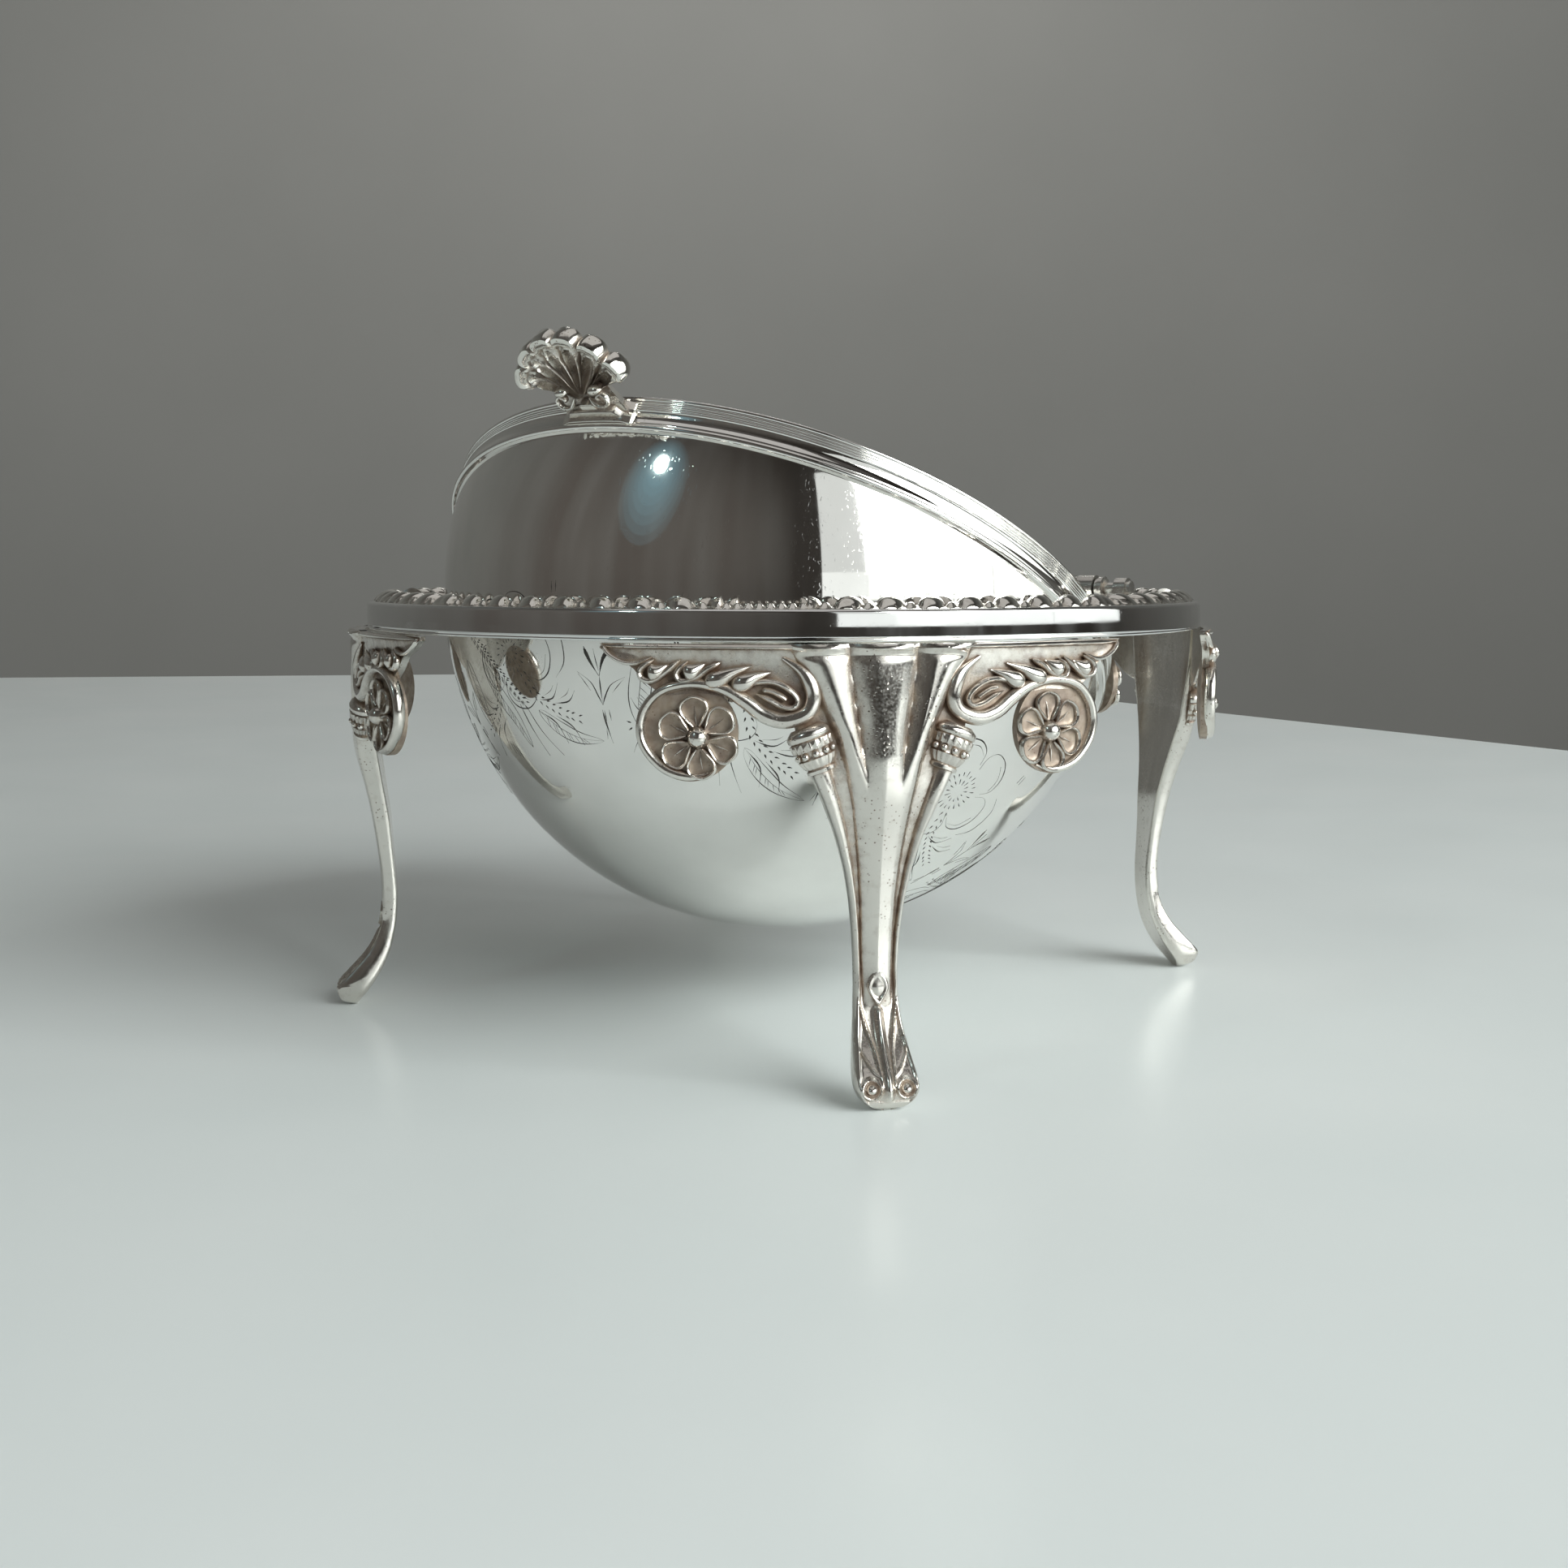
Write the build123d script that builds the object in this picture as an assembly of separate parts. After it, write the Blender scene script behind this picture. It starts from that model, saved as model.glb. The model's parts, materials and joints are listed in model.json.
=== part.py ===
from build123d import *
import math
import os

# A silver-plated sugar bowl with a revolving dome cover, in millimetres.
# Origin on the table under the middle of the ring, +Z up.  The cover turns on two pins that lie
# on the X axis direction; the four legs stand on the diagonals.  Lengths follow from the ring.

# --- ring -------------------------------------------------------------------------------------
RING_RADIUS = 75.0
OPENING_RADIUS = 63.9
SKIRT_BOTTOM = 67.6
SKIRT_HEIGHT = 4.9
RING_TOP = SKIRT_BOTTOM + SKIRT_HEIGHT
SHEET = 1.0
BORDER_INNER = 68.2
BORDER_OUTER = 73.8
BORDER_RISE = 1.8

# --- pivots: the same hardware on both sides, distances measured out from the middle --------------
PIVOT_HEIGHT = 74.93
PIN_RADIUS = 0.7
RUNNING_CLEARANCE = 0.05
POST_INNER, POST_OUTER, POST_HALF_WIDTH = 65.9, 67.9, 1.7
RIVET_HEAD_RADIUS, RIVET_HEAD_THICKNESS = 1.2, 0.6
COLLAR_INNER, COLLAR_OUTER, COLLAR_RADIUS = 63.1, 63.8, 1.9
OUTER_WASHER_THICKNESS, OUTER_WASHER_RADIUS = 0.6, 1.6
BOSS_INNER, BOSS_OUTER, BOSS_RADIUS = 59.4, 62.3, 2.1
INNER_WASHER_INNER, INNER_WASHER_OUTER, INNER_WASHER_RADIUS = 58.6, 59.1, 1.9
NUT_INNER, NUT_OUTER, NUT_ACROSS_FLATS = 54.9, 56.3, 3.4
PIN_END = 54.4

# --- cover, drawn closed about its own pivot line: dome up, thumb-piece towards +Y -----------------
DOME_RADIUS = 60.7
DOME_CENTRE_RISE = 2.4
RIM_RISE = 1.25
BAND_WIDTH = 6.0
BAND_PROUD = 0.4
BEAD_PROUD = 0.35
REEDS, REED_PITCH, REED_PROUD = 4, 0.55, 0.2
BEAD_WIDTH = 1.3
REST_ANGLE = 149.5
THUMB_SHIFT = 2.5
THUMB_WIDTH = 14.0
SHELL_LEAN = 21.0
SHELL_RADIUS = 11.0
SHELL_LOBES = 6
SHELL_SWEEP = 132.0
SHELL_THICKNESS = 2.0
SHELL_HUB = 3.4
SHELL_ROOT = 3.0
RIVET_RADIUS = 0.6
RIVET_END = DOME_RADIUS + 2.2
RIVET_HEAD_RELIEF = 0.55

# --- sugar bowl -----------------------------------------------------------------------------------
BOWL_RADIUS = 57.4
BOWL_RIM_RISE = 1.6

# --- legs: r is the distance out from the middle, t is across the leg ------------------------------
LEG_AZIMUTHS = {
    "leg_front_right": -45.0,
    "leg_back_right": 45.0,
    "leg_back_left": 135.0,
    "leg_front_left": -135.0,
}
FOOT_HEEL, FOOT_TOE = 79.2, 81.2
FOOT_HALF_WIDTH = 2.6
WING_INNER, WING_OUTER = 75.4, 78.0
ROSETTE_OFFSET, ROSETTE_HEIGHT, ROSETTE_RADIUS = 26.6, 54.0, 6.1
WING_TIP = 36.5


def turned(*edges):
    """The solid turned about the Z axis by a closed outline of radius against height."""
    return revolve(Plane.XZ * make_face(list(edges)), Axis.Z)


def turned_polygon(*points):
    return turned(*Polyline(*points, close=True).edges())


def rod(radius, start, end):
    """A round bar along +X between two distances from the middle, on the pivot line."""
    return Pos((start + end) / 2, 0, 0) * Rot(0, 90, 0) * Cylinder(radius, end - start)


def block(start, end):
    """A box between two opposite corners."""
    size = [b - a for a, b in zip(start, end)]
    middle = [(a + b) / 2 for a, b in zip(start, end)]
    return Pos(*middle) * Box(*size)


def at_pivot(shape):
    return Pos(0, 0, PIVOT_HEIGHT) * shape


def cover_at_rest(shape):
    """Moves a piece of the cover from closed to rolled back, where it stands at rest."""
    return at_pivot(Rot(REST_ANGLE, 0, 0) * shape)


def both_sides(shape):
    """The piece on +X and its mirror image on -X."""
    return {"right": shape, "left": mirror(shape, Plane.YZ)}


def ring_flange():
    """A spun flat flange with a plain skirt turned down at its outer edge."""
    flange = turned_polygon(
        (OPENING_RADIUS, RING_TOP - SHEET),
        (RING_RADIUS - SHEET, RING_TOP - SHEET),
        (RING_RADIUS - SHEET, SKIRT_BOTTOM),
        (RING_RADIUS, SKIRT_BOTTOM),
        (RING_RADIUS, RING_TOP),
        (OPENING_RADIUS, RING_TOP),
    )
    outer_corner = flange.edges().filter_by(GeomType.CIRCLE).group_by(Axis.Z)[-1].sort_by(SortBy.RADIUS)[-1]
    return fillet(outer_corner, SHEET / 2)


def gadroon_border():
    """The cast border soldered on the flange, as the round band that its lobes fill."""
    middle = (BORDER_INNER + BORDER_OUTER) / 2
    crown = ThreePointArc((BORDER_INNER, RING_TOP), (middle, RING_TOP + BORDER_RISE), (BORDER_OUTER, RING_TOP))
    return turned(crown, Line((BORDER_OUTER, RING_TOP), (BORDER_INNER, RING_TOP)))


def leg_side():
    """The cabriole side of a leg: r against z, from the ring down to the kicked-out toe."""
    front = Spline((78.0, 67.6), (78.1, 52), (75.9, 37), (73.9, 24), (74.6, 14), (79.2, 7.4), (82.7, 3.4))
    toe = ThreePointArc((82.7, 3.4), (82.6, 1.2), (FOOT_TOE, 0))
    sole = Line((FOOT_TOE, 0), (FOOT_HEEL, 0))
    back = Spline((FOOT_HEEL, 0), (76.4, 3), (72.4, 10.5), (71.0, 20), (72.0, 34), (74.6, 50), (75.4, 67.6))
    top = Line((75.4, 67.6), (78.0, 67.6))
    return make_face([front, toe, sole, back, top])


def leg_front():
    """The front outline of the shank: t against z, the same on both sides."""
    half = [(11.5, 52.0), (8.0, 43.3), (5.0, 33.0), (3.8, 22.0), (3.8, 15.0), (5.5, 8.5), (5.0, 3.5)]
    right = Spline(*half)
    toe_right = ThreePointArc(half[-1], (4.2, 1.4), (FOOT_HALF_WIDTH, 0))
    edges = [right, toe_right]
    edges += [mirror(edge, Plane.YZ) for edge in (right, toe_right)]
    edges.append(Line((-FOOT_HALF_WIDTH, 0), (FOOT_HALF_WIDTH, 0)))
    edges.append(Polyline((11.5, 52.0), (11.5, SKIRT_BOTTOM), (-11.5, SKIRT_BOTTOM), (-11.5, 52.0)))
    return make_face([e for edge in edges for e in edge.edges()])


def wing_outline():
    """One scroll wing, t against z: from the shank out to its tip, with the round rosette below."""
    upper = Polyline(
        (9.0, 50.5), (15.6, 54.0), (20.0, 57.0), (32.0, 56.5), (32.2, 62.5),
        (WING_TIP, 64.8), (WING_TIP, SKIRT_BOTTOM), (9.0, SKIRT_BOTTOM), close=True,
    )
    rosette = Pos(ROSETTE_OFFSET, ROSETTE_HEIGHT) * Circle(ROSETTE_RADIUS)
    return make_face(upper) + rosette


def leg():
    """One casting, drawn to stand out along +X: shank, foot, and a wing bent to the ring each side."""
    side_cut = extrude(Plane.XZ * leg_side(), amount=20, both=True)
    front_cut = extrude(Plane.YZ * leg_front(), amount=100)
    shank = side_cut & front_cut
    wall = turned_polygon(
        (WING_INNER, ROSETTE_HEIGHT - 8), (WING_OUTER, ROSETTE_HEIGHT - 8),
        (WING_OUTER, SKIRT_BOTTOM), (WING_INNER, SKIRT_BOTTOM),
    )
    ledge = turned_polygon(
        (RING_RADIUS - SHEET, SKIRT_BOTTOM - SHEET), (WING_OUTER, SKIRT_BOTTOM - SHEET),
        (WING_OUTER, SKIRT_BOTTOM), (RING_RADIUS - SHEET, SKIRT_BOTTOM),
    )
    wing = extrude(Plane.YZ * wing_outline(), amount=100)
    wings = (wall & wing) + (wall & mirror(wing, Plane.XZ))
    ledge_part = ledge & block((0, -WING_TIP, 0), (100, WING_TIP, 100))
    return shank + wings + ledge_part


def pivot_post():
    """A round-topped post standing on the flange, drilled for the pin."""
    foot = RING_TOP - PIVOT_HEIGHT
    upright = block((POST_INNER, -POST_HALF_WIDTH, foot), (POST_OUTER, POST_HALF_WIDTH, 0))
    post = upright + rod(POST_HALF_WIDTH, POST_INNER, POST_OUTER)
    return at_pivot(post - rod(PIN_RADIUS, POST_INNER - 1, POST_OUTER + 1))


def pivot_pin():
    """The collared pin, riveted over outside the post and threaded at its inner end."""
    pin = rod(PIN_RADIUS, PIN_END, POST_OUTER + RIVET_HEAD_THICKNESS)
    pin += rod(COLLAR_RADIUS, COLLAR_INNER, COLLAR_OUTER)
    pin += rod(PIN_RADIUS + 0.2, COLLAR_OUTER, POST_INNER)
    pin += rod(RIVET_HEAD_RADIUS, POST_OUTER, POST_OUTER + RIVET_HEAD_THICKNESS)
    return at_pivot(pin)


def washer(radius, start, end):
    return at_pivot(rod(radius, start, end) - rod(PIN_RADIUS, start - 1, end + 1))


def bowl_nut():
    """The hexagon nut inside the sugar bowl that holds it on its pin."""
    hexagon = RegularPolygon(NUT_ACROSS_FLATS / 2, 6, major_radius=False)
    body = Pos(NUT_INNER, 0, 0) * Rot(0, 90, 0) * extrude(hexagon, amount=NUT_OUTER - NUT_INNER)
    return at_pivot(body - rod(PIN_RADIUS, NUT_INNER - 1, NUT_OUTER + 1))


def bowl_lug():
    """The drilled pad on the outside of the sugar bowl that the inner washer bears on."""
    pad = rod(INNER_WASHER_RADIUS + 0.1, BOWL_RADIUS - 1, INNER_WASHER_INNER) - Sphere(BOWL_RADIUS)
    return at_pivot(pad - rod(PIN_RADIUS, PIN_END, POST_INNER))


def cap_profile(radius, centre, low, thickness):
    """A spherical wall from a level up to its pole, radius against height."""
    inner = radius - thickness
    outer_start = math.degrees(math.asin((low - centre) / radius))
    inner_start = math.degrees(math.asin((low - centre) / inner))
    outer_arc = CenterArc((0, centre), radius, outer_start, 90 - outer_start)
    inner_arc = CenterArc((0, centre), inner, inner_start, 90 - inner_start)
    return [
        outer_arc,
        Line(outer_arc @ 1, inner_arc @ 1),
        inner_arc,
        Line(inner_arc @ 0, outer_arc @ 0),
    ]


def sugar_bowl():
    """The fixed round bowl that holds the sugar, hung on the two pins."""
    wall = turned(*cap_profile(BOWL_RADIUS, 0, -BOWL_RIM_RISE, SHEET))
    drilled = mirror(wall, Plane.XY)
    drilled -= rod(PIN_RADIUS, PIN_END, POST_INNER)
    drilled -= rod(PIN_RADIUS, -POST_INNER, -PIN_END)
    return at_pivot(drilled)


def boss_solid():
    """The cover's pivot boss before drilling: a round stub and a tab up the inside of the dome."""
    tab = block((BOSS_INNER - 1, -2.5, RIM_RISE), (BOSS_OUTER, 2.5, RIM_RISE + 5))
    inside = Pos(0, 0, DOME_CENTRE_RISE) * Sphere(DOME_RADIUS - SHEET)
    near_wall = Pos(0, 0, DOME_CENTRE_RISE) * Sphere(DOME_RADIUS - 2 * SHEET)
    tab = (tab & inside) - near_wall - rod(BOSS_RADIUS + 0.2, BOSS_INNER - 2, BOSS_INNER)
    return tab + rod(BOSS_RADIUS, BOSS_INNER, BOSS_OUTER)


def lid_boss():
    return boss_solid() - rod(PIN_RADIUS + RUNNING_CLEARANCE, BOSS_INNER - 2, BOSS_OUTER + 1)


def notched(shape):
    """Cuts a square notch for each pivot boss in the rim of a piece of the cover."""
    low = (BOSS_INNER - 1, -BOSS_RADIUS, 0)
    high = (BOSS_OUTER + 1, BOSS_RADIUS, RIM_RISE + 2 * REED_PITCH)
    notch = block(low, high)
    return shape - notch - mirror(notch, Plane.YZ)


def lid_dome():
    """The plain spun dome of the cover."""
    dome = turned(*cap_profile(DOME_RADIUS, DOME_CENTRE_RISE, RIM_RISE, SHEET))
    return notched(dome - rivet_holes())


def band_outer_edge():
    """The band's section from its rim up: fine reeds, a plain strip, then a half-round bead."""
    radius = DOME_RADIUS + BAND_PROUD
    level = RIM_RISE
    edges = []
    for _ in range(REEDS):
        crest = (radius + REED_PROUD, level + REED_PITCH / 2)
        edges.append(ThreePointArc((radius, level), crest, (radius, level + REED_PITCH)))
        level += REED_PITCH
    bead_level = RIM_RISE + BAND_WIDTH - BEAD_WIDTH
    edges.append(Line((radius, level), (radius, bead_level)))
    crest = (radius + BEAD_PROUD, bead_level + BEAD_WIDTH / 2)
    edges.append(ThreePointArc((radius, bead_level), crest, (radius, bead_level + BEAD_WIDTH)))
    return edges


def lid_band():
    """The reeded strengthening band soldered round the dome's edge."""
    top = RIM_RISE + BAND_WIDTH
    outer = DOME_RADIUS + BAND_PROUD
    back = Polyline((outer, top), (DOME_RADIUS, top), (DOME_RADIUS, RIM_RISE), (outer, RIM_RISE))
    return notched(turned(*band_outer_edge(), *back.edges()) - rivet_holes())


def rivet_places():
    return [THUMB_SHIFT - THUMB_WIDTH / 4, THUMB_SHIFT + THUMB_WIDTH / 4]


def rivet_bar(radius, start, end):
    """The two rivets' round bars along +Y, between two distances from the middle."""
    level = RIM_RISE + BAND_WIDTH / 2
    bars = [
        Pos(x, (start + end) / 2, level) * Rot(90, 0, 0) * Cylinder(radius, end - start) for x in rivet_places()
    ]
    return bars[0] + bars[1]


def rivet_holes():
    """The bores for the rivets through dome and band, and blind into the plinth."""
    return rivet_bar(RIVET_RADIUS, DOME_RADIUS - 2 * SHEET, RIVET_END)


def thumb_rivets():
    """Two rivets from the thumb-piece's plinth through band and dome, headed inside."""
    inside = DOME_RADIUS - SHEET - RIVET_HEAD_RELIEF
    shanks = rivet_bar(RIVET_RADIUS, inside, RIVET_END)
    return shanks + rivet_bar(RIVET_RADIUS * 1.8, inside - RIVET_HEAD_THICKNESS, inside)


def shell_outline():
    """A scallop fan: straight sides out from a narrow root, then round lobes."""
    step = math.radians(SHELL_SWEEP / SHELL_LOBES)
    first = -math.radians(SHELL_SWEEP) / 2

    def on_rim(radius, turns):
        angle = first + turns * step
        return (radius * math.sin(angle), SHELL_HUB + radius * math.cos(angle))

    lobes = [
        ThreePointArc(on_rim(SHELL_RADIUS, i), on_rim(SHELL_RADIUS + 1, i + 0.5), on_rim(SHELL_RADIUS, i + 1))
        for i in range(SHELL_LOBES)
    ]
    last, start = on_rim(SHELL_RADIUS, SHELL_LOBES), on_rim(SHELL_RADIUS, 0)
    sides = Polyline(last, (SHELL_ROOT, 0), (-SHELL_ROOT, 0), start)
    return make_face(lobes + list(sides.edges()))


def thumb_piece():
    """The cast thumb-piece: a stepped plinth against the band with a scallop shell leaning off it."""
    seat = DOME_RADIUS + BAND_PROUD + BEAD_PROUD
    middle = RIM_RISE + BAND_WIDTH / 2
    half = THUMB_WIDTH / 2
    plinth = block((-half, seat - 1.2, middle - 2.4), (half, seat + 1.0, middle + 2.4))
    step = block((1.5 - half, seat + 1.0, middle - 1.9), (half - 1.5, seat + 2.0, middle + 1.9))
    lean = math.radians(SHELL_LEAN)
    fan_place = Plane(
        origin=(0, seat + 2.0, middle - 0.4),
        x_dir=(1, 0, 0),
        z_dir=(0, math.sin(lean), math.cos(lean)),
    )
    fan = extrude(fan_place * Pos(0, -1.0) * shell_outline(), amount=SHELL_THICKNESS / 2, both=True)
    piece = Pos(THUMB_SHIFT, 0, 0) * (plinth + step + fan)
    piece -= Cylinder(seat, 4 * BAND_WIDTH)
    return piece - rivet_holes()


def sub_parts():
    """Every separate piece by name."""
    parts = {"ring_flange": ring_flange(), "gadroon_border": gadroon_border()}
    for name, azimuth in LEG_AZIMUTHS.items():
        parts[name] = Rot(0, 0, azimuth) * leg()
    collar_washer = washer(OUTER_WASHER_RADIUS, COLLAR_INNER - OUTER_WASHER_THICKNESS, COLLAR_INNER)
    bowl_washer = washer(INNER_WASHER_RADIUS, INNER_WASHER_INNER, INNER_WASHER_OUTER)
    hardware = {
        "pivot_post": pivot_post(),
        "pivot_pin": pivot_pin(),
        "outer_washer": collar_washer,
        "inner_washer": bowl_washer,
        "bowl_nut": bowl_nut(),
        "bowl_lug": bowl_lug(),
    }
    for name, shape in hardware.items():
        for side, copy in both_sides(shape).items():
            parts[f"{name}_{side}"] = copy
    parts["sugar_bowl"] = sugar_bowl()
    parts["lid_dome"] = cover_at_rest(lid_dome())
    parts["lid_band"] = cover_at_rest(lid_band())
    for side, copy in both_sides(lid_boss()).items():
        parts[f"lid_boss_{side}"] = cover_at_rest(copy)
    parts["thumb_piece"] = cover_at_rest(thumb_piece())
    parts["thumb_rivets"] = cover_at_rest(thumb_rivets())
    return parts


os.makedirs("parts", exist_ok=True)
for name, shape in sub_parts().items():
    export_step(shape, f"parts/{name}.step")
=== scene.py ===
import json
import random
from math import asin, atan2, copysign, cos, degrees, dist, exp, hypot, log, pi, radians, sin, sqrt

import bmesh
import bpy
from mathutils import Matrix, Vector


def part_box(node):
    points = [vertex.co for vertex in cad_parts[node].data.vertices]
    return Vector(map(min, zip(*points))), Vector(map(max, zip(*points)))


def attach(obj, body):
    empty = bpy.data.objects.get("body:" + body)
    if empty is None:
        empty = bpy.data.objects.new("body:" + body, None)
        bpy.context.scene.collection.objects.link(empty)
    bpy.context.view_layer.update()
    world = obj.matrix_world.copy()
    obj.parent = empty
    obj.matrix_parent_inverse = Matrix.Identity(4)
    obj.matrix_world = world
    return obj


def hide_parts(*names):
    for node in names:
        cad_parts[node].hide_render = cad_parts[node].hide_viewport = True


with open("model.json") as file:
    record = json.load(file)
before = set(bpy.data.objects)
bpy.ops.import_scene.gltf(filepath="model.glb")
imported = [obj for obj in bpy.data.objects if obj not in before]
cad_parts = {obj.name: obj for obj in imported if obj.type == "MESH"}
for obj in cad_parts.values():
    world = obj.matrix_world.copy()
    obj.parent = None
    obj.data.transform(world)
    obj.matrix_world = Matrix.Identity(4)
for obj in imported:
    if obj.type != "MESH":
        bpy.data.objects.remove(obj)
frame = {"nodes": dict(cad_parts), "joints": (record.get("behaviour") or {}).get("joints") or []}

# A silver sugar bowl with a revolving cover.  Points are worked out in millimetres in the frame's
# own axes (Z up, the cover turns about X) and become metres when a mesh is made.
MM = 0.001
# The camera's place in metres, its turn left of +Y and its dip below level in degrees.
CAMERA_PLACE = Vector((184.1, -271.4, 79.2)) * MM
CAMERA_TURN = 34.14
CAMERA_DIP = 7.17
CAMERA_AZIMUTH = degrees(atan2(CAMERA_PLACE.y, CAMERA_PLACE.x))
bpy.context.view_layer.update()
# The azimuth towards the open, dimmer half of the room, where the wall is given painted shade; it belongs to
# the room and never moves.
PAINTED_SHADE_SIDE = -56.0

# --- sizes read from the frame ---
ROLL = frame["joints"][0]
PIVOT_Z = ROLL["pos_m"][2] / MM
REST_ANGLE = -ROLL["range_deg"][0]
RING_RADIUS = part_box("ring_flange")[1].x / MM
RING_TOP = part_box("ring_flange")[1].z / MM
SKIRT_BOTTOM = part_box("ring_flange")[0].z / MM
BORDER_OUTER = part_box("gadroon_border")[1].x / MM
BORDER_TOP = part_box("gadroon_border")[1].z / MM
DOME_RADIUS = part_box("lid_dome")[1].x / MM
BAND_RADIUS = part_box("lid_band")[1].x / MM
BOWL_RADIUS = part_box("sugar_bowl")[1].x / MM
BOWL_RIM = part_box("sugar_bowl")[1].z / MM

# --- sizes of the parts' detail ---
SHEET = 1.0
OPENING_RADIUS = 63.9
BORDER_INNER = 68.2
DOME_RISE = 2.4
RIM_RISE = 1.25
BAND_WIDTH = 6.0
LEG_AZIMUTHS = {
    "leg_front_right": -45, "leg_back_right": 45, "leg_back_left": 135, "leg_front_left": -135,
}


def arc(centre, radius, start, end, count):
    """Points along a circular arc, angles in degrees, as (across, up)."""
    points = []
    for i in range(count + 1):
        angle = radians(start + (end - start) * i / count)
        points.append((centre[0] + radius * cos(angle), centre[1] + radius * sin(angle)))
    return points


def polar(radius, turn):
    return (radius * cos(turn), radius * sin(turn))


def mix(a, b, share):
    return a + (b - a) * share


def clamp(value, low=0.0, high=1.0):
    return max(low, min(high, value))


def ease(value):
    value = clamp(value)
    return value * value * (3 - 2 * value)


def table(pairs, at):
    """A value read between the points of a short list of (place, value) pairs."""
    if at <= pairs[0][0]:
        return pairs[0][1]
    for (x0, y0), (x1, y1) in zip(pairs, pairs[1:]):
        if at <= x1:
            return mix(y0, y1, (at - x0) / (x1 - x0))
    return pairs[-1][1]


def smooth_table(pairs, at, reach=1.2):
    """table() averaged a little each way, so that a profile has no corners."""
    return sum(table(pairs, at + reach * k / 2) for k in (-2, -1, 0, 1, 2)) / 5


def curve_through(points, steps):
    """A Catmull-Rom curve through a few points of any dimension, as a list of tuples."""
    ends = [points[0]] + list(points) + [points[-1]]
    out = []
    for i in range(len(points) - 1):
        for k in range(steps):
            t = k / steps
            out.append(tuple(
                0.5 * (2 * b + (c - a) * t + (2 * a - 5 * b + 4 * c - d) * t * t
                       + (3 * b - a - 3 * c + d) * t ** 3)
                for a, b, c, d in zip(*ends[i:i + 4])
            ))
    out.append(tuple(points[-1]))
    return out


def left_of(path, i):
    """The unit direction to the left of a path, at one of its points."""
    before, after = path[max(i - 1, 0)], path[min(i + 1, len(path) - 1)]
    across, up = after[0] - before[0], after[1] - before[1]
    run = hypot(across, up) or 1.0
    return (-up / run, across / run)


class Shape:
    """Points in millimetres and faces, gathered into one mesh."""

    def __init__(self):
        self.points = []
        self.faces = []

    def grid(self, rows, close_rows=False, close_columns=False):
        """Skins rows of points of equal length; the last may join the first either way."""
        start, across, down = len(self.points), len(rows[0]), len(rows)
        for row in rows:
            self.points.extend(tuple(p) for p in row)
        for i in range(down if close_rows else down - 1):
            near = start + i * across
            far = start + (i + 1) % down * across
            for j in range(across if close_columns else across - 1):
                step = (j + 1) % across
                self.faces.append((near + j, far + j, far + step, near + step))
        return self

    def tube(self, rings):
        """Skins closed rings of points and caps both ends."""
        start, across = len(self.points), len(rings[0])
        self.grid(rings, close_columns=True)
        last = start + (len(rings) - 1) * across
        self.faces.append(tuple(range(start, start + across)))
        self.faces.append(tuple(range(last + across - 1, last - 1, -1)))
        return self

    def slab(self, front, back):
        """Closes a front and a back grid of the same size into one solid."""
        self.grid([f + list(reversed(b)) for f, b in zip(front, back)], close_columns=True)
        for end in (0, -1):
            self.grid([front[end], back[end]])
        return self

    def add(self, other):
        start = len(self.points)
        self.points.extend(other.points)
        self.faces.extend(tuple(start + k for k in face) for face in other.faces)
        return self


def lathe(profile, segments=192):
    """Turns a closed outline of (radius, height) points about Z."""
    rows = []
    for i in range(segments):
        turn = 2 * pi * i / segments
        rows.append([(*polar(r, turn), z) for r, z in profile])
    return Shape().grid(rows, close_rows=True, close_columns=True)


COVER_PLACE = Matrix.Translation((0, 0, PIVOT_Z)) @ Matrix.Rotation(radians(REST_ANGLE), 4, "X")
PIVOT_PLACE = Matrix.Translation((0, 0, PIVOT_Z))


def new_object(name, data):
    piece = bpy.data.objects.new(name, data)
    bpy.context.scene.collection.objects.link(piece)
    return piece


def make(name, shape, material, body, place=None, sharp=35, replaces=()):
    """Makes one object from a shape, shades it, gives it its material and lets it ride on a body."""
    mesh = bpy.data.meshes.new(name)
    place = place or Matrix.Identity(4)
    points = [place @ Vector(p) * MM for p in shape.points]
    mesh.from_pydata(points, [], shape.faces)
    work = bmesh.new()
    work.from_mesh(mesh)
    bmesh.ops.remove_doubles(work, verts=work.verts, dist=1e-7)
    bmesh.ops.dissolve_degenerate(work, edges=work.edges, dist=1e-8)
    bmesh.ops.recalc_face_normals(work, faces=work.faces)
    work.to_mesh(mesh)
    work.free()
    mesh.shade_smooth()
    mesh.set_sharp_from_angle(angle=radians(sharp))
    mesh.materials.append(material)
    piece = new_object(name, mesh)
    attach(piece, body)
    if replaces:
        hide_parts(*replaces)


# --- materials ---

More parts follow.
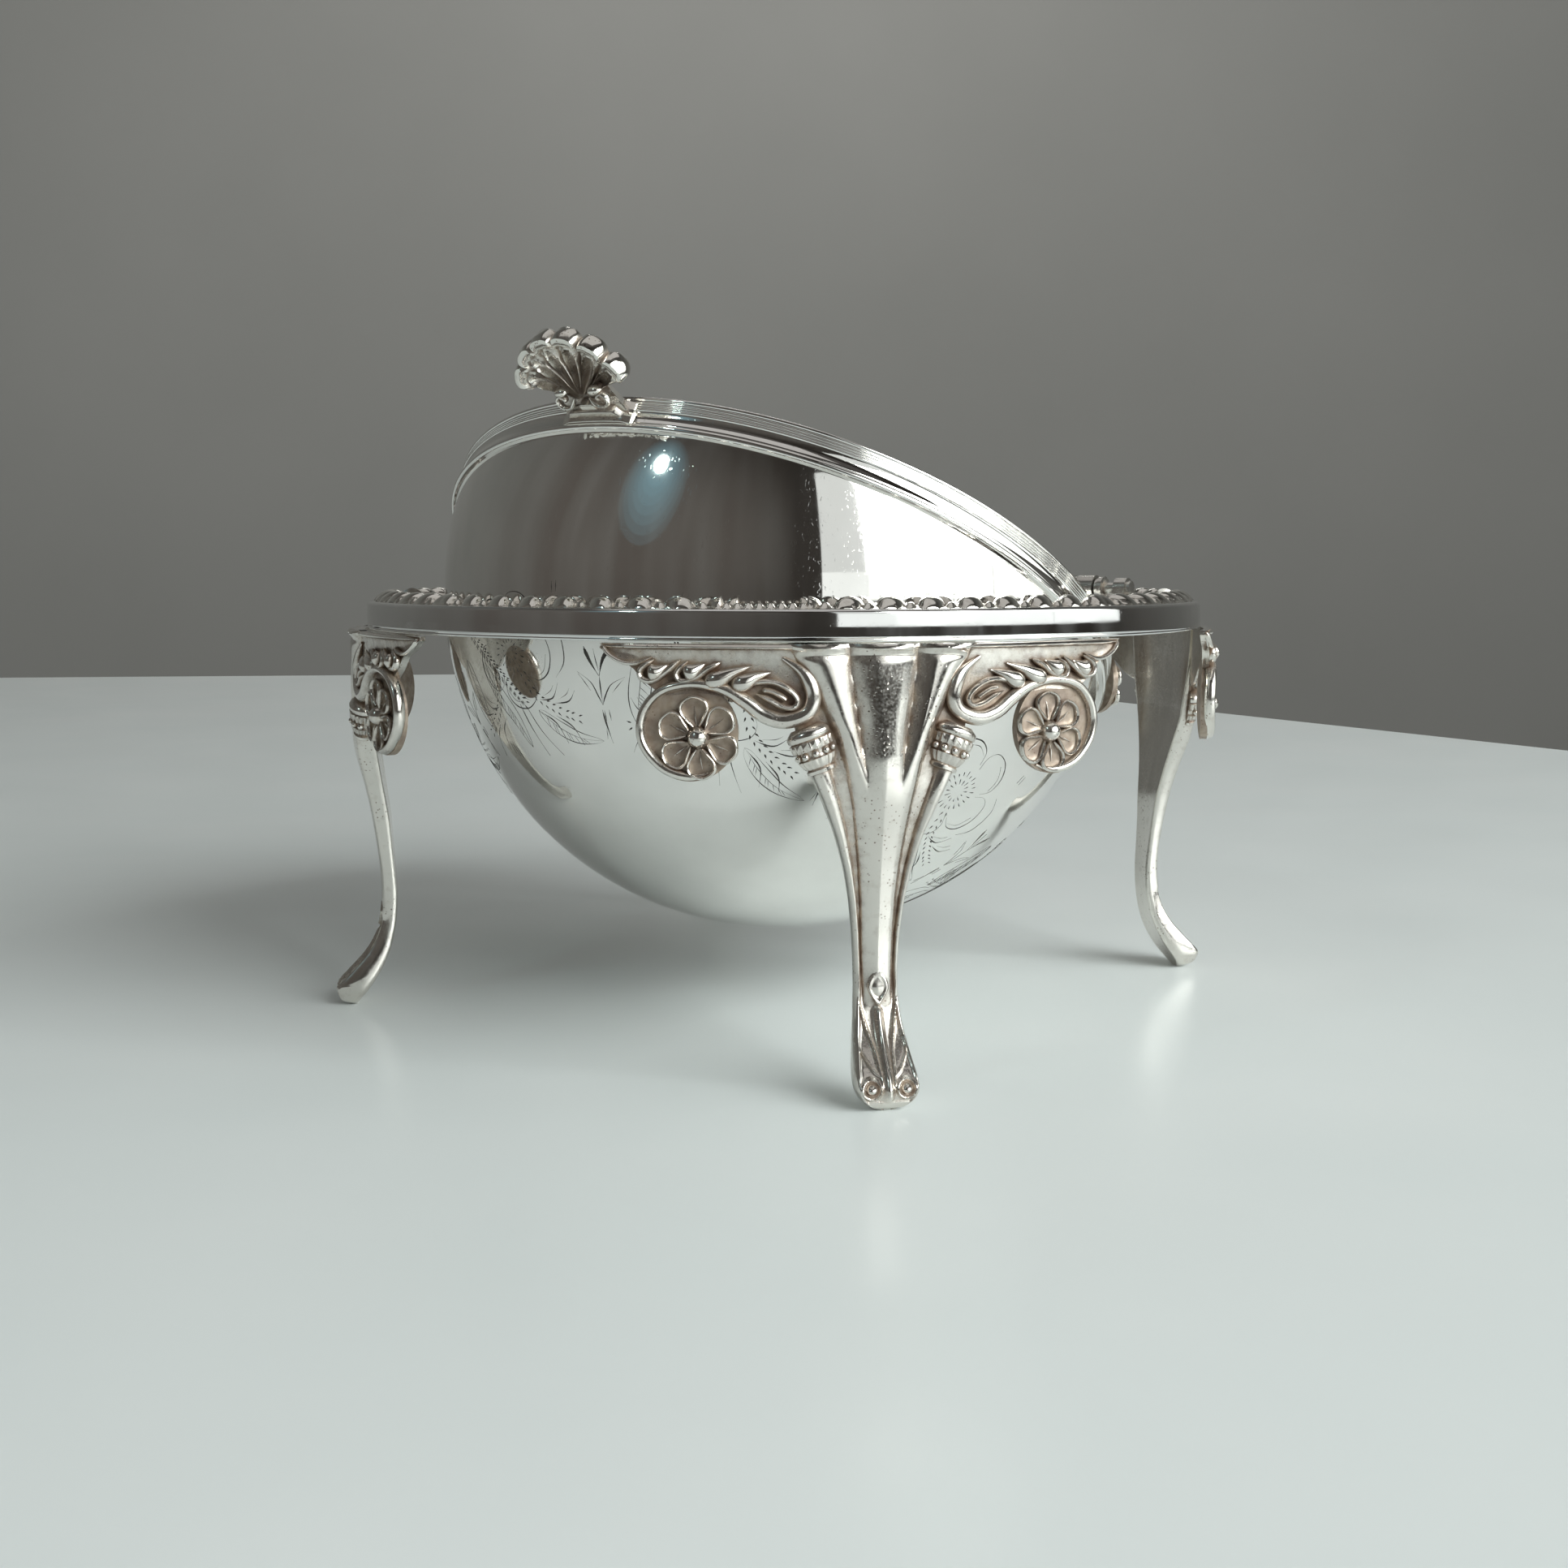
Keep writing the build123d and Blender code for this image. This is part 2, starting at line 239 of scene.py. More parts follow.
class Nodes:
    """A short way to add nodes to one material and link them."""

    def __init__(self, name):
        self.material = bpy.data.materials.new(name)
        self.material.use_nodes = True
        self.tree = self.material.node_tree
        self.shader = self.tree.nodes["Principled BSDF"]
        self.place = self.add("TexCoord").outputs["Object"]

    def add(self, kind, inputs=None, **settings):
        node = self.tree.nodes.new("ShaderNode" + kind)
        for key, value in settings.items():
            setattr(node, key, value)
        for key, value in (inputs or {}).items():
            self.link(value, node.inputs[key])
        return node

    def link(self, value, socket):
        if isinstance(value, bpy.types.NodeSocket):
            self.tree.links.new(value, socket)
        else:
            socket.default_value = value

    def noise(self, scale, detail=3.0, stretch=None, distortion=0.0):
        place = self.place
        if stretch:
            place = self.add("Mapping", {"Vector": place, "Scale": stretch}).outputs[0]
        node = self.add("TexNoise", {"Vector": place, "Scale": scale, "Detail": detail,
                                               "Distortion": distortion})
        return node.outputs["Fac"]

    def ramp(self, value, low, high, start=0.0, end=1.0):
        """Maps low..high of a value to start..end, clamped."""
        node = self.add("MapRange", {"Value": value, "From Min": low, "From Max": high,
                                               "To Min": start, "To Max": end})
        return node.outputs["Result"]

    def math(self, operation, a, b):
        return self.add("Math", {0: a, 1: b}, operation=operation).outputs[0]

    def mix(self, share, a, b):
        node = self.add("Mix", data_type="RGBA")
        for value, place in ((share, 0), (a, 6), (b, 7)):
            self.link(value, node.inputs[place])
        return node.outputs[2]

    def bump(self, height, strength, distance):
        node = self.add("Bump", {"Height": height, "Strength": strength, "Distance": distance})
        return node.outputs["Normal"]

    def finish(self, **sockets):
        for name, value in sockets.items():
            self.link(value, self.shader.inputs[name.replace("_", " ")])
        return self.material


TARNISH = (0.13, 0.072, 0.043, 1)
LIGHT_TARNISH = (0.34, 0.262, 0.19, 1)
# The strokes' dark tones: tarnish in the cuts and painted shade of their hollows.
STROKE_SHADE_AND_TARNISH_TONES = ((0.025, 0.022, 0.018, 1), (0.09, 0.08, 0.07, 1))
TABLE_TONES = ((0.745, 0.79, 0.785, 1), (0.775, 0.812, 0.806, 1))
WALL_GREYS = ((0.245, 0.242, 0.230, 1), (0.262, 0.258, 0.246, 1))
# Painted shade: the darker, browner tones of the wall's side towards the room.
WALL_SHADE_BROWNS = ((0.19, 0.165, 0.15, 1), (0.25, 0.232, 0.218, 1))
# Metres along the shaded side's direction between which the wall goes from grey to its painted shade.
WALL_SHADE_SPAN = (-1.2, 0.4)
# The scratches' noise: its scale, and the stretch that sets their way.
SCRATCHES = ((3200, (1, 0.06, 0.3)), (2600, (0.08, 1, 0.5)))
SCRATCH_DEPTH = 0.05
PIT_DEPTH = 0.5


def silver(name, tone, rough, scratches=0.0, tarnish=None, pits=0.0, aged=0.0):
    """Silver plate: rough is its least and greatest roughness, tarnish the reach in metres and the
    strength of dirt in recesses, aged a film all over; scratches and pits are strengths."""
    n = Nodes(name)
    clouds = n.noise(55, 4)
    smears = n.noise(240, 5, stretch=(1, 1, 0.35), distortion=0.6)
    darker = tuple(c * 0.9 for c in tone[:3]) + (1,)
    colour = n.mix(n.ramp(clouds, 0.35, 0.7), tone, darker)
    rough = n.ramp(smears, 0.35, 0.75, *rough)
    height = n.math("MULTIPLY", n.noise(28, 1), 0.5)
    if scratches:
        for scale, stretch in SCRATCHES:
            lines = n.ramp(n.noise(scale, 2, stretch, 0.4), 0.66, 0.74)
            height = n.math("SUBTRACT", height, n.math("MULTIPLY", lines, scratches * SCRATCH_DEPTH))
    if pits:
        cells = n.add("TexVoronoi", {"Vector": n.place, "Scale": 1500})
        holes = n.ramp(cells.outputs["Distance"], 0.08, 0.24, 1.0, 0.0)
        pitted = n.math("MULTIPLY", holes, n.ramp(n.noise(190, 3), 0.49, 0.58))
        height = n.math("SUBTRACT", height, n.math("MULTIPLY", pitted, pits * PIT_DEPTH))
        colour = n.mix(pitted, colour, TARNISH)
        rough = n.math("ADD", rough, n.math("MULTIPLY", n.ramp(n.noise(2600, 2), 0.4, 0.7), 0.10 * pits))
    metal = 1.0
    if tarnish:
        reach, strength = tarnish
        hollow = n.add("AmbientOcclusion", {"Distance": reach}, samples=6, only_local=True)
        open_share = n.math("ADD", hollow.outputs["AO"], n.ramp(n.noise(700, 4), 0.3, 0.7, -0.10, 0.10))
        dirt = n.math("MULTIPLY", n.ramp(open_share, 0.50, 0.97, 1.0, 0.0), strength)
        if aged:
            film = n.ramp(n.noise(900, 4), 0.35, 0.65, aged * 0.7, aged)
            dirt = n.math("MAXIMUM", dirt, film)
        colour = n.mix(dirt, colour, n.mix(n.ramp(n.noise(420, 4), 0.35, 0.65), TARNISH, LIGHT_TARNISH))
        rough = n.math("ADD", rough, n.math("MULTIPLY", dirt, 0.30))
        metal = n.ramp(dirt, 0.2, 1.0, 1.0, 0.3)
    return n.finish(Base_Color=colour, Metallic=metal, Roughness=rough,
                    Normal=n.bump(height, 0.3, 0.0002))


def stroke_metal():
    """The engraving's strokes: dark and slightly glossy, the dark tone being the tarnish in the cuts together
    with painted shade of the cuts' hollows.
    """
    n = Nodes("engraved_cut")
    colour = n.mix(n.ramp(n.noise(300, 3), 0.4, 0.65), *STROKE_SHADE_AND_TARNISH_TONES)
    return n.finish(Base_Color=colour, Metallic=0.2, Roughness=n.ramp(n.noise(500, 2), 0.3, 0.7, 0.35, 0.6),
                    Normal=n.bump(n.noise(1200, 2), 0.2, 0.00005))


def table_top():
    """A pale, glossy table, faintly cloudy."""
    n = Nodes("table_top")
    haze = n.noise(14, 3)
    colour = n.mix(n.ramp(haze, 0.3, 0.7), *TABLE_TONES)
    return n.finish(Base_Color=colour, Roughness=n.ramp(n.noise(30, 4), 0.3, 0.7, 0.29, 0.34),
                    Specular_IOR_Level=0.18)


def wall_paint_and_shade():
    """Grey paint with painted shade on the side towards the room, darker and browner there and softly
    streaked up and down.
    """
    n = Nodes("wall_paint_and_shade")
    turn = radians(PAINTED_SHADE_SIDE)
    facing = n.add("VectorMath", {0: n.place, 1: (cos(turn), sin(turn), 0)},
                   operation="DOT_PRODUCT").outputs["Value"]
    # Painted shade: this share darkens and browns the wall towards the room side; the streaks vary that
    # painted shade.
    room = n.ramp(facing, *WALL_SHADE_SPAN)
    streaks = n.ramp(n.noise(2.2, 2, stretch=(1, 1, 0.12)), 0.38, 0.62)
    grey = n.mix(n.ramp(n.noise(3, 3), 0.3, 0.7), *WALL_GREYS)
    shaded_brown = n.mix(streaks, *WALL_SHADE_BROWNS)
    return n.finish(Base_Color=n.mix(room, grey, shaded_brown), Roughness=0.9,
                    Normal=n.bump(n.noise(700, 2), 0.1, 0.0004))


BRIGHT = silver("bright_silver", (0.91, 0.895, 0.865, 1), rough=(0.03, 0.085), scratches=0.9)
RING_SILVER = silver("ring_silver", (0.84, 0.835, 0.825, 1), rough=(0.05, 0.11), scratches=0.4)
CAST = silver("cast_silver", (0.79, 0.76, 0.71, 1), rough=(0.08, 0.17), tarnish=(0.0032, 1.0), pits=0.9)
BORDER_SILVER = silver("border_silver", (0.90, 0.88, 0.83, 1), rough=(0.06, 0.16), tarnish=(0.0024, 0.95))
THUMB_SILVER = silver("thumb_silver", (0.90, 0.875, 0.82, 1), rough=(0.07, 0.17), tarnish=(0.0016, 0.85),
                      pits=0.2)
PIN_SILVER = silver("pin_silver", (0.72, 0.70, 0.66, 1), rough=(0.18, 0.32), tarnish=(0.001, 0.8))
AGED = silver("aged_silver", (0.62, 0.55, 0.48, 1), rough=(0.18, 0.32), tarnish=(0.003, 1.0), pits=0.4,
              aged=0.78)
LINING = silver("lining_silver", (0.80, 0.75, 0.64, 1), rough=(0.15, 0.25), scratches=0.12)
STROKE = stroke_metal()
TABLE_TOP = table_top()
WALL_PAINT_AND_SHADE = wall_paint_and_shade()


# --- ring and border ---

def ring_profile():
    """Flange with a rounded shoulder, and the skirt with a fine bright bead at its lower edge."""
    lip = 0.5
    corner = 0.7
    shoulder = RING_TOP - corner - 1.8
    lean = 0.07
    bead = 0.28
    inside = RING_RADIUS - SHEET
    fillet = 0.4
    outline = [(OPENING_RADIUS, RING_TOP - SHEET + 0.15)]
    outline += arc((OPENING_RADIUS + lip, RING_TOP - lip), lip, 190, 90, 6)
    outline += arc((RING_RADIUS - lean - corner, RING_TOP - corner), corner, 90, 0, 8)
    outline += [(RING_RADIUS, shoulder), (RING_RADIUS, shoulder - 0.3)]
    outline += [(RING_RADIUS, SKIRT_BOTTOM + 1.05), (RING_RADIUS, SKIRT_BOTTOM + 0.8)]
    outline += [(RING_RADIUS - 0.04, SKIRT_BOTTOM + 0.66)]
    outline += arc((RING_RADIUS - bead, SKIRT_BOTTOM + bead * 1.6), bead, 35, -90, 6)
    outline += [(inside, SKIRT_BOTTOM + 0.15), (inside, RING_TOP - SHEET - fillet)]
    outline += [(inside - fillet, RING_TOP - SHEET)]
    return outline


BORDER_LOBES = 72
BORDER_GROUND = 0.35
LOBE_SLANT = 0.32
# The lobes' slant turns over at four places, across a few beads.
REVERSAL_AZIMUTH = -58.0
REVERSAL_HALF_SPAN = 5.0
REVERSAL_BEAD_PITCH = 1.25


def hump(across, along):
    """1 in an ellipse's middle, 0 outside; each pair is a distance and the half size that way."""
    return max(0.0, 1 - (across[0] / across[1]) ** 2 - (along[0] / along[1]) ** 2)


def border_height(radius, azimuth):
    """Height of the border over the flange at one place: slanted lobes, small beads between them."""
    share = (radius - BORDER_INNER) / (BORDER_OUTER - BORDER_INNER)
    from_edge = radius - BORDER_OUTER
    turn = (azimuth - REVERSAL_AZIMUTH + 45) % 90 - 45
    ground = BORDER_GROUND * sin(pi * clamp(share)) ** 0.5
    if abs(turn) < REVERSAL_HALF_SPAN:
        place = (turn / REVERSAL_BEAD_PITCH) % 1 - 0.5
        return ground + 0.75 * sqrt(hump((place, 0.42), (from_edge + 1.0, 0.8)))
    slant = copysign(LOBE_SLANT, turn) * (share - 0.5)
    place = (azimuth * BORDER_LOBES / 360 + slant) % 1
    lobe = hump((place - 0.38, 0.34), (share - 0.54, 0.47))
    height = ground + (BORDER_TOP - RING_TOP - BORDER_GROUND) * sqrt(lobe)
    bead = hump((place - 0.87, 0.12), (from_edge + 1.1, 0.75))
    if bead > 0:
        height = max(height, ground + 0.8 * sqrt(bead))
    return height


def gadroon_border():
    """The border of lobes round the ring, with a flat underside."""
    across = 22
    stations = BORDER_LOBES * across
    rows = []
    for i in range(stations):
        azimuth = 360 * i / stations
        turn = radians(azimuth)
        row = []
        for j in range(across + 1):
            radius = mix(BORDER_INNER, BORDER_OUTER, j / across)
            edge = sin(pi * j / across) ** 0.3 if 0 < j < across else 0
            row.append((radius, RING_TOP + border_height(radius, azimuth) * edge))
        row += [(BORDER_OUTER, RING_TOP - 0.1), (BORDER_INNER, RING_TOP - 0.1)]
        rows.append([(*polar(r, turn), z) for r, z in row])
    return Shape().grid(rows, close_rows=True, close_columns=True)


def build_ring():
    make("ring_flange_finished", lathe(ring_profile(), 256), RING_SILVER, "stand",
         replaces=("ring_flange",))
    make("gadroon_border_lobed", gadroon_border(), BORDER_SILVER, "stand", sharp=60,
         replaces=("gadroon_border",))


# --- cover ---

def dome_profile():
    """The dome's outer face from rim to crown, and its inner face back."""
    low = degrees(asin((RIM_RISE - DOME_RISE) / DOME_RADIUS))
    outer = arc((0, DOME_RISE), DOME_RADIUS, low, 90, 90)
    return outer + arc((0, DOME_RISE), DOME_RADIUS - SHEET, low, 90, 90)[::-1]


def band_profile():
    """From the rim up: fine reeds, a slightly hollow plain strip, a bright half-round bead, a groove."""
    base = BAND_RADIUS - 0.45
    reed_base = base + 0.12
    band_top = RIM_RISE + BAND_WIDTH
    bead = 0.6
    strip_steps = 6
    outline = [(DOME_RADIUS - 0.2, RIM_RISE - 0.05)]
    level = RIM_RISE
    for width in (0.75, 0.5, 0.45, 0.4, 0.4):
        outline += arc((reed_base, level + width / 2), width / 2, -75, 75, 6)
        level += width
    for k in range(strip_steps + 1):
        share = k / strip_steps
        hollow = 0.18 * sin(pi * share)
        outline.append((reed_base - hollow, mix(level + 0.05, band_top - 1.35, share)))
    outline += arc((base - 0.02, band_top - 0.65), bead, -80, 100, 12)
    outline.append((DOME_RADIUS - 0.35, band_top + 0.05))
    outline.append((DOME_RADIUS - 0.4, RIM_RISE + 2))
    return outline


def build_cover():
    make("cover_dome", lathe(dome_profile()), BRIGHT, "cover", COVER_PLACE,
         replaces=("lid_dome",))
    make("cover_band", lathe(band_profile(), 256), BRIGHT, "cover", COVER_PLACE,
         replaces=("lid_band",))


# --- engraving on the dome: x along the rim, y towards the crown, in millimetres ---

ENGRAVED_REPEATS = 7
ENGRAVING_WEIGHT = 1.9
# A stroke's section: its edges lie just under the dome's face and its middle just over it.
STROKE_SECTION = ((-1, -0.04), (0, 0.03), (1, -0.04))
FLOWER_PLACE = (-15.3, 37.0)
SPRAY_PLACE = (8.3, 43.0)
HAND = random.Random(11)


def on_dome(longitude, latitude):
    """Places for one motif: longitude from the thumb-piece, latitude from the rim to the crown."""
    lon, lat = radians(longitude), radians(latitude)
    out = Vector((sin(lon) * cos(lat), cos(lon) * cos(lat), sin(lat)))
    east = Vector((cos(lon), -sin(lon), 0))
    crown = out.cross(east) * -1
    centre = Vector((0, 0, DOME_RISE))

    def place(x, y, h):
        run = hypot(x, y) / DOME_RADIUS
        heading = (east * x + crown * y).normalized()
        return tuple(centre + (out * cos(run) + heading * sin(run)) * (DOME_RADIUS + h))

    return place


class Engraving:
    """The engraved pattern, as thin dark slivers that stand a little proud of the dome; their dark tone is
    tarnish and painted shade of the cuts.
    """

    def __init__(self):
        self.shape = Shape()
        self.place = None

    def stroke(self, points, width=0.2, head=0.5):
        """One tapered stroke, widest at the share of its length that head gives."""
        steps = 6 if len(points) > 2 else 4
        path = curve_through(points, steps)
        count = len(path) - 1
        rings = []
        for i, (x, y) in enumerate(path):
            side = left_of(path, i)
            share = i / count
            swell = share / head if share < head else (1 - share) / (1 - head)
            w = ENGRAVING_WEIGHT * width * max(0.15, ease(swell)) * 0.5
            rings.append([self.place(x + side[0] * w * k, y + side[1] * w * k, h)
                          for k, h in STROKE_SECTION])
        self.shape.tube(rings)

    def flower(self):
        """A dotted eye in two rings and five broad petals."""
        for ring, (count, near, far) in enumerate(((14, 1.3, 2.1), (22, 2.8, 3.7))):
            for i in range(count):
                turn = 2 * pi * (i + 0.5 * ring) / count
                near_r, far_r = near + HAND.uniform(-0.1, 0.2), far + HAND.uniform(-0.3, 0.3)
                self.stroke([polar(near_r, turn), polar(far_r, turn)], 0.24, 0.7)
        for petal in range(5):
            start = 2 * pi * petal / 5 + 0.3
            outline = ((5.0, -32), (7.4, -34), (9.2, -24), (9.9, -6), (9.5, 12), (8.0, 27), (5.6, 33))
            points = [polar(r, start + radians(a)) for r, a in outline]
            self.stroke(points, 0.26, 0.7)
            self.stroke([(0.9 * x, 0.9 * y) for x, y in points[3:6]], 0.12)

    def dotted(self, path, spacing=1.0):
        """Pairs of short slanting dashes along a line, as in an ear of grass."""
        points = curve_through(path, 12)
        travelled = 0.0
        for before, after in zip(points, points[1:]):
            run = dist(before, after)
            travelled += run
            if travelled < spacing:
                continue
            travelled = 0.0
            along = ((after[0] - before[0]) / run, (after[1] - before[1]) / run)
            for side in (-1, 1):
                x = after[0] - side * along[1] * 0.42
                y = after[1] + side * along[0] * 0.42
                self.stroke([(x, y), (x + along[0] * 0.75 - side * along[1] * 0.35,
                                   y + along[1] * 0.75 + side * along[0] * 0.35)], 0.34, 0.35)

    def leaf(self, spine, half, hatches, curl=1):
        """An outlined leaf, hatched from its middle rib to one edge."""
        points = curve_through(spine, 8)
        count = len(points) - 1
        edges = {-1: [], 1: []}
        for i, (x, y) in enumerate(points):
            side = left_of(points, i)
            swell = half * sin(pi * (i / count) ** 0.8) ** 0.8
            for k in edges:
                edges[k].append((x + side[0] * swell * k, y + side[1] * swell * k))
        for k in edges:
            self.stroke(edges[k][::2], 0.2, 0.6)
        self.stroke(points[::2], 0.12, 0.4)
        for i in range(hatches):
            at = int(count * (0.18 + 0.64 * i / hatches))
            (x0, y0), (x1, y1) = points[at], edges[curl][min(at + 2, count)]
            self.stroke([(x0, y0), (mix(x0, x1, 0.9), mix(y0, y1, 0.9))], 0.12, 0.3)

    def spray(self):
        """Two long tapered strokes that meet over a stem, with side petals and a tail."""
        self.stroke([(-3.0, -6.6), (-1.9, -4.4), (-0.3, -2.2)], 0.75, 0.25)
        self.stroke([(1.7, -6.9), (0.4, -4.6), (-0.2, -2.2)], 0.75, 0.25)
        self.stroke([(-1.2, -6.4), (-0.7, -4.4), (-0.3, -3.0)], 0.2)
        self.stroke([(-0.2, -2.4), (-0.1, 0), (0.1, 2.4)], 0.26, 0.4)
        for side in (-1, 1):
            self.stroke([(4.4 * side, -2.4), (1.9 * side, -1.0), (0.6 * side, 1.2), (0.1, 2.6)], 0.26, 0.65)
            self.stroke([(4.2 * side, -2.1), (2.9 * side, -0.7), (2.0 * side, 0.4)], 0.14)
        self.stroke([(-0.1, 3.4), (0.4, 6.0), (1.1, 9.0)], 0.4, 0.3)
        self.stroke([(0.3, 6.4), (0.2, 8.4)], 0.14)

    def grass(self, side):
        """The tip of a garland beside a spray: dotted ear with curved leaves above and below."""
        self.dotted([(17.5 * side, -1.6), (14.2 * side, 2.6), (9.5 * side, 4.6), (3.9 * side, 5.6)], 1.05)
        for x, low, high in ((13.0, 0.0, 10.4), (9.6, 0.8, 10.2)):
            for leaf, width, head in (
                (((0, 3.6), (3.0, 2.8), (4.4, low)), 0.28, 0.35),
                (((0.9, 2.8), (2.6, 1.7), (3.3, 0.6)), 0.12, 0.5),
                (((0, 5.8), (3.2, 7.2), (5.0, high)), 0.28, 0.35),
            ):
                self.stroke([((x - back) * side, y) for back, y in leaf], width, head)

    def stem(self):
        """The garland below a flower, with its hatched leaves and loose strokes."""
        self.dotted([(-13.6, -5.4), (-8.6, -1.0), (-4.2, 3.4), (0.2, 8.2)], 1.0)
        self.dotted([(-13.1, -4.4), (-8.0, 0.2), (-3.6, 4.6), (0.6, 9.0)], 1.0)
        self.leaf([(-9.5, 1.2), (-6.6, 6.6), (-3.6, 11.4), (-2.2, 16.6)], 1.6, 12)
        self.leaf([(-16.5, 0.5), (-15.2, 5.4), (-14.4, 9.8), (-12.8, 13.4)], 1.9, 10, -1)
        self.leaf([(3.4, 10.4), (6.6, 13.6), (10.4, 16.0), (15.0, 17.2)], 1.3, 9)
        self.stroke([(-1.0, 9.0), (-0.2, 13.0), (1.4, 18.4)], 0.3, 0.3)
        self.stroke([(0.6, 9.6), (2.2, 14.0), (5.0, 18.6)], 0.24, 0.3)
        for k in range(3):
            self.stroke([(-9.4 + 0.9 * k, 15.2 + 0.5 * k), (-8.7 + 0.9 * k, 17.6 + 0.4 * k)], 0.3, 0.3)
        for x, y in ((12.5, -9.5), (-12.5, -10.0), (17.4, 12.2)):
            for k in range(2):
                self.stroke([(x + 0.9 * k, y), (x + 0.9 * k - 0.3, y + 1.8)], 0.2)
        self.stroke([(10.4, -3.5), (12.6, -1.0), (12.4, 3.2), (9.8, 5.6)], 0.26, 0.6)


def build_engraving():
    work = Engraving()
    for i in range(ENGRAVED_REPEATS):
        turn = 360 * i / ENGRAVED_REPEATS
        work.place = on_dome(FLOWER_PLACE[0] + turn, FLOWER_PLACE[1])
        work.flower()
        work.stem()
        work.place = on_dome(SPRAY_PLACE[0] + turn, SPRAY_PLACE[1])
        work.spray()
        work.grass(-1)
        work.grass(1)
    make("cover_engraving", work.shape, STROKE, "cover", COVER_PLACE)


def build_bowl():
    """The round bowl, about the pivot's height, with a rolled rim."""
    rim_rise = BOWL_RIM - PIVOT_Z
    end = degrees(asin(rim_rise / BOWL_RADIUS)) - 0.8
    roll = 0.62
    outer = arc((0, 0), BOWL_RADIUS, -90, end, 80)
    rolled = arc((BOWL_RADIUS - SHEET / 2, rim_rise - 0.6), roll, -10, 190, 10)
    inner = arc((0, 0), BOWL_RADIUS - SHEET, end, -90, 80)
    make("sugar_bowl_round", lathe(outer + rolled + inner), LINING, "stand", PIVOT_PLACE,
         replaces=("sugar_bowl",))


# --- legs: s runs round the ring from the leg's middle, z up, h outward from the wing's wall ---

WALL_RADIUS = 76.5
LEG_TOP = SKIRT_BOTTOM
LEG_FRONT = (
    (0, 80.3), (0.4, 81.3), (1.2, 82.1), (2.4, 82.5), (3.6, 82.4), (5, 81.4), (7.4, 79.1), (10, 76.7),
    (14, 74.7), (19, 73.9), (24, 74.0), (30, 74.7), (36, 75.6), (41, 76.7), (46, 78.0), (50, 78.3),
    (LEG_TOP, 78.1),
)
LEG_BACK = (
    (0, 79.0), (3, 76.6), (7, 73.9), (10.5, 72.4), (15, 71.4), (20, 71.1), (34, 72.1), (50, 74.7),
    (60, 75.3), (LEG_TOP, 75.4),
)
LEG_HALF_WIDTH = (
    (0, 1.2), (0.3, 2.1), (0.8, 3.0), (1.8, 4.0), (3, 4.6), (4.5, 4.75), (8, 4.35), (12, 3.85),
    (16, 3.6), (20, 3.6), (25, 3.9), (30, 4.5), (35, 5.5), (40, 7.0), (45, 9.0), (50, 11.2),
    (55, 12.8), (60, 14.0), (LEG_TOP, 15.2),
)
CARVING_DEPTH = ((0, 0.9), (12, 1.1), (20, 1.1), (35, 1.4), (50, 1.8), (LEG_TOP, 1.9))
LOBE_EDGE = ((40, 1.9), (48, 2.5), (55, 3.6), (60, 4.4), (LEG_TOP, 5.2))
FAN_EDGE = (
    (14, 2.2), (20, 2.5), (30, 2.9), (35, 3.3), (40, 3.9), (45, 4.6), (50, 5.6), (55, 7.2), (60, 9.6),
    (64, 12.0), (LEG_TOP, 14.6),
)
STRAND_MIDDLE = ((15, 3.0), (20, 3.15), (25, 3.4), (30, 3.9), (35, 4.8), (40, 6.1), (45, 7.8), (50, 9.6))
STRAND_HALF = ((15, 0.4), (20, 0.5), (30, 0.62), (35, 0.75), (40, 1.0), (45, 1.35), (50, 1.7))
FOOT_LEAF = ((3, 0.8), (5, 0.9), (8, 1.25), (11, 2.1), (14.5, 2.9))
FOOT_CURL = ((0.8, 4.9), (2, 5.9), (3, 7.4), (3.8, 9.2))
SCROLL_EYE = (2.45, 3.5)
SHIELD_MIDDLE = 16.6
SHIELD_HALF = (1.95, 2.9)


def cylinder_point(radius, s, z):
    """A point at one radius, for a leg that stands out along +X."""
    return (*polar(radius, s / WALL_RADIUS), z)


def on_wall(s, z, h=0.0):
    """A point on the wing's wall, or h outward of it."""
    return cylinder_point(WALL_RADIUS + h, s, z)


def bulge(offset, half):
    """A rounded hump across a half width: 1 in the middle, 0 at its edges."""
    share = 1 - (offset / half) ** 2
    return sqrt(share) if share > 0 else 0.0


def shank_relief(t, z):
    """How far the carving of the leg stands up at one place, 0 in the grooves to 1."""
    t = abs(t)
    fan = table(FAN_EDGE, z)
    lobe = table(LOBE_EDGE, z)
    column = 0.86 * bulge(t, fan) + 0.14 * clamp(1 - t / fan)
    side = clamp(1 - ((t - (fan + lobe) / 2) / ((fan - lobe) / 2 + 0.15)) ** 2)
    lobes = max(clamp(1 - (t / (lobe + 0.15)) ** 2) ** 0.8, 0.94 * side ** 0.8)
    body = mix(column, lobes, ease((z - 44) / 13))
    strand = 0.72 * bulge(t - table(STRAND_MIDDLE, z), table(STRAND_HALF, z))
    return max(body, strand * ease((53 - z) / 3))


def line(distance, width):
    """A raised line seen across its width."""
    return exp(-(distance / width) ** 2)


